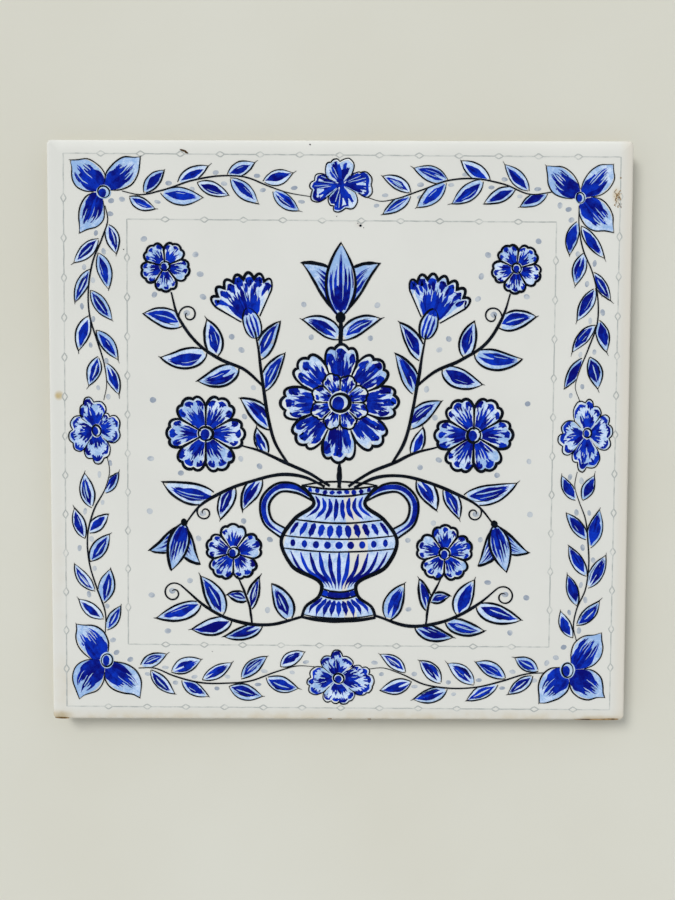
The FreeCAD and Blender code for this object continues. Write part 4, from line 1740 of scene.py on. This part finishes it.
@dataclass
class Vase(Lobe):
    """A footed urn: t times its half width across, with level lines that sag as on a round pot."""

    profile: tuple[Spot, ...] = (
        (9.8, -13.0), (8.2, -14.8), (6.6, -17.4), (11.6, -21.8), (15.0, -27.4), (12.4, -33.8),
        (4.4, -39.8), (4.9, -41.6), (8.8, -45.0), (9.6, -47.4),
    )
    handle_outer: tuple[Spot, ...] = (
        (8.1, -15.0), (11.4, -12.7), (16.2, -12.6), (20.2, -16.6), (19.7, -22.6), (14.9, -26.9),
    )
    handle_inner: tuple[Spot, ...] = (
        (6.9, -17.0), (11.2, -15.0), (15.4, -14.8), (18.1, -17.8), (17.5, -21.8), (13.5, -24.5),
    )
    sag: float = 1.0
    line: float = 1.0
    handle_line: float = 0.65
    lip_line: float = 0.55
    back_line: float = 0.5
    place: Place = Place()

    def at(self, s: np.ndarray, t: np.ndarray) -> Curve:
        """Work out points of the urn between the mirrored halves of its profile.

        Args:
            s: Shares of the profile's length, from the lip to the foot.
            t: Shares of the way from the middle to an edge.

        Returns:
            The points on the face, one a row.
        """
        fine = curve_through(self.profile, 160)
        share = np.linspace(0.0, 1.0, len(fine))
        half = np.interp(s, share, fine[:, 0])
        level = np.interp(s, share, fine[:, 1])
        return self.place.of(np.stack([t * half, level - self.sag * (1.0 - t ** 2)], axis=1))

    def share(self, number: int) -> float:
        """Return the value of s of one of the profile's points, counted from the lip."""
        mark = chords(self.profile)
        return float(mark[number] / mark[-1])

    def level(self, sheet: PrintSheet, s: float, width: float) -> None:
        """Draw a line round the urn at a value of s, with its width in millimetres."""
        path = self.at(np.full(18, s), np.linspace(-1.0, 1.0, 18))
        sheet.stroke(Coat.INK, path, width, INK_TONE, Touch.URN_LEVEL)

    def row(self, sheet: PrintSheet, ends: Spot, count: int, spread: float, reach: float) -> None:
        """Lay a row of upright brush marks round the urn.

        Args:
            sheet: Where to paint.
            ends: The first and last value of s.
            count: How many marks the row has.
            spread: The half width of a mark, as a share of the space that it has.
            reach: How far the row goes towards both edges, as a value of t.
        """
        shares = np.linspace(0.0, 1.0, len(self.profile))
        for lean in np.linspace(-reach, reach, count):
            pair = sheet.hand.pair(ends, 0.006)
            path = self.run(pair, (float(lean), float(lean)), 12)
            half = 0.5 * float(np.interp(np.mean(pair), shares, np.asarray(self.profile)[:, 0]))
            width = 4.0 * spread * half * reach / (count - 1) * math.sqrt(1.25 - lean ** 2)
            sheet.stroke(Coat.COBALT, path, width, sheet.hand.near(*COBALT_TONE), Touch.URN_MARK)

    def handle(self, sheet: PrintSheet, place: Place) -> None:
        """Paint a scrolled handle: a pale ribbon with two ink edges and a dark heart.

        Args:
            sheet: Where to paint.
            place: The urn's side.
        """
        edges = (self.handle_outer, self.handle_inner)
        outer, inner = (place.of(curve_through(edge, 34)) for edge in edges)
        sheet.patch(Coat.WASH, outer, inner, 0.45)
        heart = 0.6 * outer + 0.4 * inner
        sheet.stroke(Coat.COBALT, heart, width=1.2, tone=0.6, touch=Touch.HANDLE_HEART)
        for edge in (outer, inner):
            sheet.stroke(Coat.INK, edge, self.handle_line, INK_TONE, Touch.HANDLE_EDGE)

    def paint(self, sheet: PrintSheet) -> None:
        """Paint the urn's ground, its rows of brush marks, bands, outline and handles.

        Args:
            sheet: Where to paint.
        """
        for mirror in (False, True):
            self.handle(sheet, Place(mirror=mirror))
        for sides in ((-0.97, 0.16), (0.5, 0.97)):
            self.fill(sheet, Coat.WASH, (0.012, 0.988), sides, 0.4, 60)
        lip, shoulder, belly, waist, knot, flare = (self.share(number) for number in (1, 3, 4, 6, 7, 8))
        # Every row's ends as values of s, its marks, their spread and the row's reach.
        for ends, count, spread, reach in (
            ((0.012, lip - 0.008), 9, 0.62, 0.84),
            ((lip + 0.02, shoulder - 0.02), 8, 0.6, 0.8),
            ((shoulder + 0.015, belly - 0.045), 11, 0.72, 0.88),
            ((belly + 0.055, waist - 0.02), 11, 0.7, 0.86),
            ((waist, knot), 5, 0.9, 0.8),
            ((knot + 0.015, 0.975), 9, 0.62, 0.84),
        ):
            self.row(sheet, ends, count, spread, reach)
        for lean in np.linspace(-0.8, 0.8, 9):
            spot = self.at(np.array([belly + 0.005]), np.array([lean]))[0]
            radii = (1.0 - 0.45 * abs(lean), 0.95)
            sheet.dot(Coat.COBALT, tuple(spot), radii, tone=sheet.hand.near(0.6, 0.2))
        for s, width in ((lip, 0.5), (shoulder, 0.5), (belly - 0.035, 0.42), (belly + 0.045, 0.42),
                         (waist, 0.5), (knot, 0.5), (flare + 0.04, 0.36)):
            self.level(sheet, s, width)
        for side in (-1.0, 1.0):
            edge = self.run((0.0, 1.0), (side, side), 64)
            sheet.stroke(Coat.INK, edge, self.line, 0.8, Touch.URN_EDGE)
        self.level(sheet, 0.0, self.lip_line)
        self.level(sheet, 1.0, self.line)
        back = self.at(np.zeros(18), np.linspace(-1.0, 1.0, 18))
        back[:, 1] = 2.0 * self.profile[0][1] - back[:, 1]
        sheet.stroke(Coat.INK, back, self.back_line, INK_TONE, Touch.URN_LIP)


@dataclass
class Bloom:
    """A round flower of scalloped petals, with a second ring of petals inside if it is layered."""

    centre: Spot
    reach: float
    petals: int
    tilt: float
    eye: float
    layered: bool = False
    lobes: int = 3
    inner_lobes: int = 2
    line: float = 0.78
    inner_line: float = 0.5

    def paint(self, sheet: PrintSheet, place: Place) -> None:
        """Paint the rings of petals and the eye.

        Args:
            sheet: Where to paint.
            place: The flower's side of the panel.
        """
        hand = sheet.hand
        step = 360.0 / self.petals
        # Every ring's size, then root, tip and side as values of s, its offset in steps and its rays.
        rings = [(1.0, 0.2, 0.72, 0.2, 0.0, 6)]
        if self.layered:
            rings = [(1.0, 0.5, 0.86, 0.74, 0.0, 6), (0.5, 0.36, 0.8, 0.6, 0.5, 4)]
        for size, root, tip, side, offset, rays in rings:
            lobes, line = (self.lobes, self.line) if size == 1.0 else (self.inner_lobes, self.inner_line)
            for number in range(self.petals):
                heading = hand.near(self.tilt + step * (number + offset), 1.5)
                reach = hand.near(size * self.reach, 0.02 * self.reach)
                petal = Fan(self.centre, heading, reach, 0.5 * step, lobes, scallop=0.07, fall=0.24,
                            place=place)
                petal.paint(sheet, rays, line, root, tip, (side, side))
        middle = place.spot(self.centre)
        ringed_eye(sheet, middle, self.eye)
        if self.layered:
            for angle in np.arange(0.0, 360.0, 30.0):
                spot = spiral(middle, (1.42 * self.eye, 1.42 * self.eye), float(angle), 0.0, 1)[0]
                sheet.dot(Coat.INK, tuple(spot), (0.3, 0.26), tone=0.7)


@dataclass
class Pink:
    """A toothed fan of a flower in its cup."""

    hub: Spot
    heading: float
    reach: float
    spread: float = 42.0
    teeth: int = 7
    rays: int = 9
    line: float = 0.55
    cup_line: float = 0.5

    def paint(self, sheet: PrintSheet, place: Place) -> None:
        """Paint the fan and its cup.

        Args:
            sheet: Where to paint.
            place: The flower's side of the panel.
        """
        fan = Fan(self.hub, self.heading, self.reach, self.spread, self.teeth, scallop=0.12, fall=0.12,
                  place=place)
        fan.paint(sheet, self.rays, self.line, root=0.34, tip=0.76, sides=(0.34, 0.34))
        way = np.array([math.cos(math.radians(self.heading)), math.sin(math.radians(self.heading))])
        start = np.asarray(self.hub) - 0.16 * self.reach * way
        cup = Blade(tuple(start), tuple(start + 0.56 * self.reach * way), 0.15 * self.reach, heel=0.5,
                    point=0.6, place=place)
        cup.fill(sheet, Coat.WASH, (0.02, 0.97), (-0.9, 0.9), 0.6)
        for lean in (-0.5, 0.0, 0.5):
            cup.streak(sheet, (0.06, sheet.hand.near(0.8, 0.06)), (lean, lean), width=0.6)
        cup.outline(sheet, self.cup_line, starts=(0.0, 0.0), overshoot=0.1)


@dataclass
class Tulip:
    """Three pointed petals in a cup, the outer two bowed away from the middle one."""

    base: Spot
    heading: float
    length: float
    line: float = 0.55
    fingers: int = 5
    dark: float = 0.78
    lean: float = 36.0
    bow: float = 0.16

    def paint(self, sheet: PrintSheet, place: Place) -> None:
        """Paint the outer petals up to the edges of the middle one, that petal, and the bead under the cup.

        Args:
            sheet: Where to paint.
            place: The flower's side of the panel.
        """
        middle = self.petal(0.0, place)
        for turn in (1.0, -1.0):
            edge = middle.free(np.linspace(0.0, 0.96, 40), np.full(40, turn))
            outer = replace(self.petal(turn, place), fence=edge, gap=0.02 * turn)
            outer.paint_petal(sheet, self.fingers, self.line, 0.05, starts=(0.05, 0.05), dark=self.dark)
        middle.paint_petal(sheet, self.fingers, self.line, 0.05, starts=(0.03, 0.03), dark=self.dark)
        radii = (0.078 * self.length, 0.066 * self.length)
        sheet.dot(Coat.INK, place.spot(self.base), radii, turn=self.heading + place.turn, tone=0.7)

    def petal(self, turn: float, place: Place) -> Blade:
        """Shape the middle petal, or an outer one that leans from the flower's heading and bows back.

        Args:
            turn: 0 for the middle petal, 1 for the left one and -1 for the right one.
            place: The flower's side of the panel.

        Returns:
            The petal.
        """
        long, wide = (0.9, 0.17) if turn else (1.0, 0.2)
        angle = math.radians(self.heading + self.lean * turn)
        tip = np.asarray(self.base) + np.array([math.cos(angle), math.sin(angle)]) * self.length * long
        return Blade(self.base, tuple(tip), wide * self.length, -self.bow * turn, heel=0.85, point=1.05,
                     place=place)


@dataclass
class Spray:
    """A stem with leaves, tendrils and dots, laid out for the right half of the panel.

    A leaf has a base, a tip, a half width and a bow. A tendril has its share of the stem's way, its radius,
    to the stem's right if negative, and its turn in degrees.
    """

    stem: tuple[Spot, ...]
    leaves: tuple[tuple[Spot, Spot, float, float], ...] = ()
    tendrils: tuple[tuple[float, float, float], ...] = ()
    dots: tuple[Spot, ...] = ()
    line: float = 0.85
    leaf_line: float = 0.56
    tendril_line: float = 0.42
    gap: float = 0.4

    def paint(self, sheet: PrintSheet, place: Place) -> None:
        """Paint the stem, then what grows from it.

        Args:
            sheet: Where to paint.
            place: The spray's side of the panel.
        """
        hand = sheet.hand
        stem = curve_through([hand.pair(spot, 0.25) for spot in self.stem], 40)
        normals = across(stem)
        sheet.stroke(Coat.INK, place.of(stem), self.line, 0.65, Touch.SPRAY_STEM)
        cores = (Core.SLIT, Core.WHOLE, Core.TWIN)
        for base, tip, half, bow in self.leaves:
            loose = hand.pair(tip, 0.4)
            foot = int(np.argmin(np.hypot(*(stem - np.asarray(base)).T)))
            lean = float(np.sign(normals[foot] @ np.subtract(tip, stem[foot])))
            leaf = Blade(tuple(stem[foot]), loose, hand.near(half, 0.15), bow, heel=0.7, point=1.0,
                         place=place, fence=stem, gap=self.gap * lean)
            leaf.paint_leaf(sheet, cores[int(hand.rng.integers(len(cores)))], self.leaf_line)
        for share, radius, turn in self.tendrils:
            foot = int(share * (len(stem) - 1))
            centre = stem[foot] + radius * normals[foot]
            arm = stem[foot] - centre
            angle = math.degrees(math.atan2(arm[1], arm[0]))
            reach = (abs(radius), 0.24 * abs(radius))
            curl = place.of(spiral(tuple(centre), reach, angle, math.copysign(turn, radius), 36))
            sheet.stroke(Coat.INK, curl, self.tendril_line, 0.65, Touch.TENDRIL)
            sheet.dot(Coat.DOT, tuple(curl[-1]), (0.85, 0.75), tone=hand.near(0.6, 0.2))
        for spot in self.dots:
            off = place.spot(hand.pair(spot, 0.25))
            sheet.dot(Coat.DOT, off, (hand.near(0.8, 0.1), hand.near(0.68, 0.08)),
                      turn=hand.near(0.0, 90.0), tone=hand.near(0.5, 0.3))


@dataclass
class Bouquet:
    """The panel's motif: a footed urn with flowers and sprays, alike on both sides of its axis."""

    vase: Vase = field(default_factory=Vase)
    heart: Bloom = field(default_factory=lambda: Bloom((0.0, 8.4), 15.2, 8, 90.0, 2.4, True))
    crown: Tulip = field(default_factory=lambda: Tulip((0.0, 30.2), 90.0, 19.0, 0.75))
    sides: tuple[Bloom | Pink | Tulip, ...] = (
        Bloom((34.6, 0.2), 10.2, 6, 60.0, 1.8),
        Bloom((45.0, 43.0), 6.4, 5, 50.0, 1.2, line=0.65),
        Bloom((27.4, -30.6), 7.4, 5, 90.0, 1.4, line=0.7),
        Pink((22.2, 27.0), 72.0, 14.6, line=0.78),
        Tulip((40.2, -22.8), -75.0, 13.0, 0.65),
    )
    sprays: tuple[Spray, ...] = (
        Spray(((0.0, -13.6), (0.2, -10.0), (0.0, -6.6)), line=0.9),
        Spray(((0.0, 23.4), (0.15, 26.4), (0.0, 31.0)),
              leaves=(((0.1, 24.6), (10.2, 29.6), 2.1, 0.1),), line=0.9, dots=((7.6, 25.2), (9.4, 33.6))),
        Spray(((2.4, -13.2), (8.0, -9.6), (14.0, -7.0), (20.0, -4.4), (25.4, -2.6)),
              leaves=(((18.4, -5.1), (21.4, 2.2), 1.5, -0.06),),
              dots=((24.6, 4.6), (25.6, -6.2), (20.8, -8.0))),
        Spray(((13.4, -7.2), (16.8, -1.6), (18.8, 6.0), (19.8, 14.0), (20.8, 20.8), (21.9, 26.2)),
              leaves=(((17.8, 1.6), (25.8, 9.0), 2.4, 0.08), ((19.4, 10.8), (14.4, 21.2), 2.1, -0.06),
                      ((20.7, 19.6), (15.2, 29.2), 2.0, -0.06)),
              dots=((17.4, 24.0), (22.4, 12.2), (25.4, 22.0))),
        Spray(((19.6, 12.6), (24.6, 16.6), (31.0, 19.6), (37.4, 24.0), (41.6, 30.2), (43.6, 36.6)),
              leaves=(((26.4, 17.7), (36.4, 13.4), 2.4, -0.08), ((34.4, 21.8), (46.6, 19.8), 2.5, -0.1),
                      ((31.6, 20.0), (34.6, 29.6), 2.2, 0.04), ((40.0, 27.8), (50.4, 31.0), 2.3, 0.06)),
              tendrils=((0.8, 2.6, 430.0),),
              dots=((35.2, 35.2), (47.8, 35.6), (28.0, 25.0), (37.4, 46.2), (50.6, 49.8), (36.2, 40.8))),
        Spray(((4.0, -13.4), (9.2, -10.8), (15.0, -10.3), (22.0, -11.6), (30.0, -14.8), (36.4, -18.6),
               (40.4, -23.6)),
              leaves=(((20.4, -11.2), (25.4, -19.6), 2.1, 0.06), ((27.2, -13.6), (30.8, -21.8), 2.0, 0.06),
                      ((32.2, -16.0), (45.8, -12.4), 2.6, -0.08)),
              tendrils=((0.86, -2.1, 430.0),),
              dots=((36.6, -26.8), (40.8, -10.2), (48.8, -6.4), (48.4, 8.6), (49.2, -20.2))),
        Spray(((9.6, -47.2), (18.0, -49.4), (27.0, -48.4), (35.0, -44.6), (41.0, -39.4)),
              leaves=(((13.2, -48.4), (17.2, -38.8), 2.3, 0.06), ((30.6, -46.8), (35.6, -37.2), 2.3, 0.06),
                      ((19.6, -49.5), (29.6, -52.8), 1.8, -0.06),
                      ((27.6, -48.3), (38.4, -50.6), 2.1, -0.06),
                      ((36.0, -43.9), (47.2, -48.0), 2.3, -0.04)),
              tendrils=((1.0, -2.8, 430.0),),
              dots=((18.4, -45.4), (38.6, -38.2), (44.6, -51.4), (48.6, -42.0))),
        Spray(((22.6, -49.2), (23.6, -44.0), (26.5, -36.7)),
              leaves=(((24.0, -43.0), (29.0, -41.4), 1.4, 0.06),
                      ((23.3, -45.6), (20.6, -37.2), 1.6, -0.04)),
              dots=((17.9, -27.0), (24.6, -22.4)), line=0.6),
    )

    def paint(self, sheet: PrintSheet) -> None:
        """Paint sprays and side flowers on both sides, then what stands on the axis.

        Args:
            sheet: Where to paint.
        """
        for mirror in (False, True):
            place = Place(mirror=mirror)
            for growth in self.sprays + self.sides:
                growth.paint(sheet, place)
        self.crown.paint(sheet, Place())
        self.heart.paint(sheet, Place())
        self.vase.paint(sheet)


# Soiling


@dataclass
class Soiling:
    """Rust flecks and specks on the face, at their places in millimetres, and a scraped patch of rust."""

    flecks: tuple[tuple[Spot, Spot, float], ...] = (
        ((70.7, 62.4), (0.6, 0.16), 70.0), ((70.2, 61.7), (0.62, 0.18), 55.0),
        ((70.9, 61.0), (0.6, 0.15), 120.0), ((69.8, 60.7), (0.4, 0.14), 80.0),
        ((69.6, 59.2), (0.2, 0.12), 20.0), ((70.4, 58.8), (0.22, 0.1), 85.0),
        ((71.0, 66.1), (0.22, 0.2), 0.0), ((-39.6, 71.7), (0.5, 0.24), -20.0),
        ((-23.9, -51.6), (0.5, 0.42), 20.0), ((-72.4, -74.6), (1.9, 0.22), -2.0),
        ((67.4, -74.1), (5.6, 0.14), 0.3), ((71.6, -74.0), (2.0, 0.2), 0.0),
        ((-2.2, -74.4), (0.6, 0.12), 0.0), ((8.2, -74.4), (0.5, 0.12), 0.0),
    )
    dash: tuple[Spot, Spot, float] = ((-40.4, 72.2), (0.95, 0.26), -17.0)
    scrape: tuple[Spot, Spot] = ((70.3, 60.9), (1.0, 2.4))
    scrape_flecks: int = 46
    specks: tuple[tuple[Spot, float], ...] = (
        ((4.8, 53.6), 0.34), ((4.1, 54.2), 0.12), ((5.6, 53.1), 0.1), ((-8.2, 74.0), 0.2),
        ((-55.7, 47.2), 0.14), ((-1.3, 55.9), 0.12), ((66.8, 36.0), 0.1), ((-33.0, -56.6), 0.1),
    )

    def paint(self, sheet: PrintSheet) -> None:
        """Set down every fleck and speck.

        The scrape's flecks lie along a curve whose x swings five times and whose y three times in a turn,
        drawn in by chance.

        Args:
            sheet: Where to paint.
        """
        hand = sheet.hand
        for centre, radii, turn in self.flecks:
            sheet.dot(Coat.RUST, centre, radii, turn, tone=hand.near(0.75, 0.3), count=11)
        sheet.dot(Coat.RUST, *self.dash, tone=1.2, lift=0.03, count=11)
        middle, reach = self.scrape
        for angle in np.linspace(0.0, 360.0, self.scrape_flecks):
            far = hand.rng.uniform(0.1, 1.0) ** 0.7
            spot = (middle[0] + far * reach[0] * math.cos(5.0 * math.radians(angle)),
                    middle[1] + far * reach[1] * math.sin(3.0 * math.radians(angle)))
            radii = (hand.near(0.22, 0.14), hand.near(0.075, 0.03))
            sheet.dot(Coat.RUST, spot, radii, turn=hand.near(75.0, 50.0), tone=hand.near(0.6, 0.4), count=7)
        for centre, radius in self.specks:
            sheet.dot(Coat.INK, centre, (radius, 0.85 * radius), turn=hand.near(0.0, 90.0), tone=0.4)


# Floor, light and camera


@dataclass
class Studio:
    """A plain pale floor, one soft key light from the upper left, an even dome and the camera above."""

    floor_colour: Colour = (214, 214, 204)
    floor_warm: Colour = (210, 209, 197)
    floor_half: float = 12.0
    floor_points: int = 9
    floor_drop_mm: float = 0.1
    floor_roughness: float = 0.75
    key_colour: tuple[float, float, float] = (1.0, 0.985, 0.955)
    key_strength: float = 1.86
    key_from: tuple[float, float, float] = (-0.45, 0.52, 0.74)
    key_spread_deg: float = 22.0
    dome_colour: tuple[float, float, float, float] = (0.97, 0.985, 1.0, 1.0)
    dome_level: float = 0.9
    dome_top: float = 0.1
    dome_fade_deg: Spot = (46.0, 28.0)
    near_clip: float = 0.01
    focal_px: float = 850.0
    sensor_mm: float = 36.0
    eye_mm: tuple[float, float, float] = (-0.5, 5.5, 225.7)
    eye_turn_deg: tuple[float, float, float] = (-2.51, 0.0, 0.15)

    def floor(self) -> bpy.types.Object:
        """Lay the floor as a flat grid just under the tile.

        Returns:
            The floor.
        """
        count = self.floor_points
        line = np.linspace(-self.floor_half, self.floor_half, count)
        x, y = np.meshgrid(line, line, indexing="ij")
        points = np.stack([x, y, np.full_like(x, -self.floor_drop_mm * MM)], axis=-1).reshape(-1, 3)
        i, j = np.meshgrid(np.arange(count - 1), np.arange(count - 1), indexing="ij")
        corner = (i * count + j).reshape(-1)
        faces = np.stack([corner, corner + count, corner + count + 1, corner + 1], axis=1)
        sheet = NodeSheet(bpy.data.materials.new("pale_floor"))
        cloud = sheet.ease(sheet.noise(9.0, 4.0), 0.3, 0.7)
        sheet.give("Base Color", sheet.mix(cloud, linear(self.floor_colour), linear(self.floor_warm)))
        sheet.give("Roughness", self.floor_roughness)
        sheet.bump(sheet.noise(160.0, 4.0), strength=0.12, distance_mm=0.3)
        return new_piece("floor", points, faces.tolist(), sheet.holder)

    def light(self) -> None:
        """Set the key light and a dome that stays dark overhead, where the glaze mirrors the camera."""
        lamp = bpy.data.lights.new("key", "SUN")
        lamp.energy = self.key_strength
        lamp.angle = math.radians(self.key_spread_deg)
        lamp.color = self.key_colour
        key = bpy.data.objects.new("key", lamp)
        key.rotation_euler = Vector(self.key_from).to_track_quat("Z", "Y").to_euler()
        key.visible_glossy = False
        bpy.context.collection.objects.link(key)
        dome = NodeSheet(bpy.data.worlds.new("dome"), "Background", "Generated")
        up = dome.add("ShaderNodeSeparateXYZ", {0: dome.position}).outputs[2]
        low, high = (math.cos(math.radians(angle)) for angle in self.dome_fade_deg)
        dome.give("Strength", dome.ease(up, low, high, self.dome_level, self.dome_top))
        dome.give("Color", self.dome_colour)
        bpy.context.scene.world = dome.holder
        bpy.context.scene.view_settings.view_transform = "Standard"

    def camera(self) -> None:
        """Hang the camera over the tile, nearly square to it."""
        lens = bpy.data.cameras.new("camera")
        lens.sensor_width = self.sensor_mm
        lens.lens = self.focal_px / max(IMAGE_WIDTH, IMAGE_HEIGHT) * self.sensor_mm
        lens.clip_start = self.near_clip
        eye = bpy.data.objects.new("camera", lens)
        eye.location = Vector(self.eye_mm) * MM
        eye.rotation_euler = Euler([math.radians(angle) for angle in self.eye_turn_deg], "XYZ")
        bpy.context.collection.objects.link(eye)
        bpy.context.scene.camera = eye


def main() -> None:
    """Build body, print, soiling and studio in order, and report each piece."""
    logging.basicConfig(level=logging.INFO, format="%(name)s: %(message)s")
    low, high = (np.asarray(corner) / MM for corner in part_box("tile"))
    body = GlazedBody(side=float(high[0] - low[0]), thickness=float(high[2] - low[2]))
    tile = body.build(GlazeFinish())
    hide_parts("tile")
    border = PrintSheet("border", body, Hand(71), Place(0.2, -0.35, -0.25))
    Border().paint(border)
    Soiling().paint(border)
    panel = PrintSheet("panel", body, Hand(29), Place(0.1, -0.3, -0.2))
    Bouquet().paint(panel)
    for piece in [tile] + border.build() + panel.build():
        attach(piece, BODY)
        LOG.info("%s: %d faces", piece.name, len(piece.data.polygons))
    studio = Studio()
    studio.floor()
    studio.light()
    studio.camera()


if __name__ == "__main__":
    main()
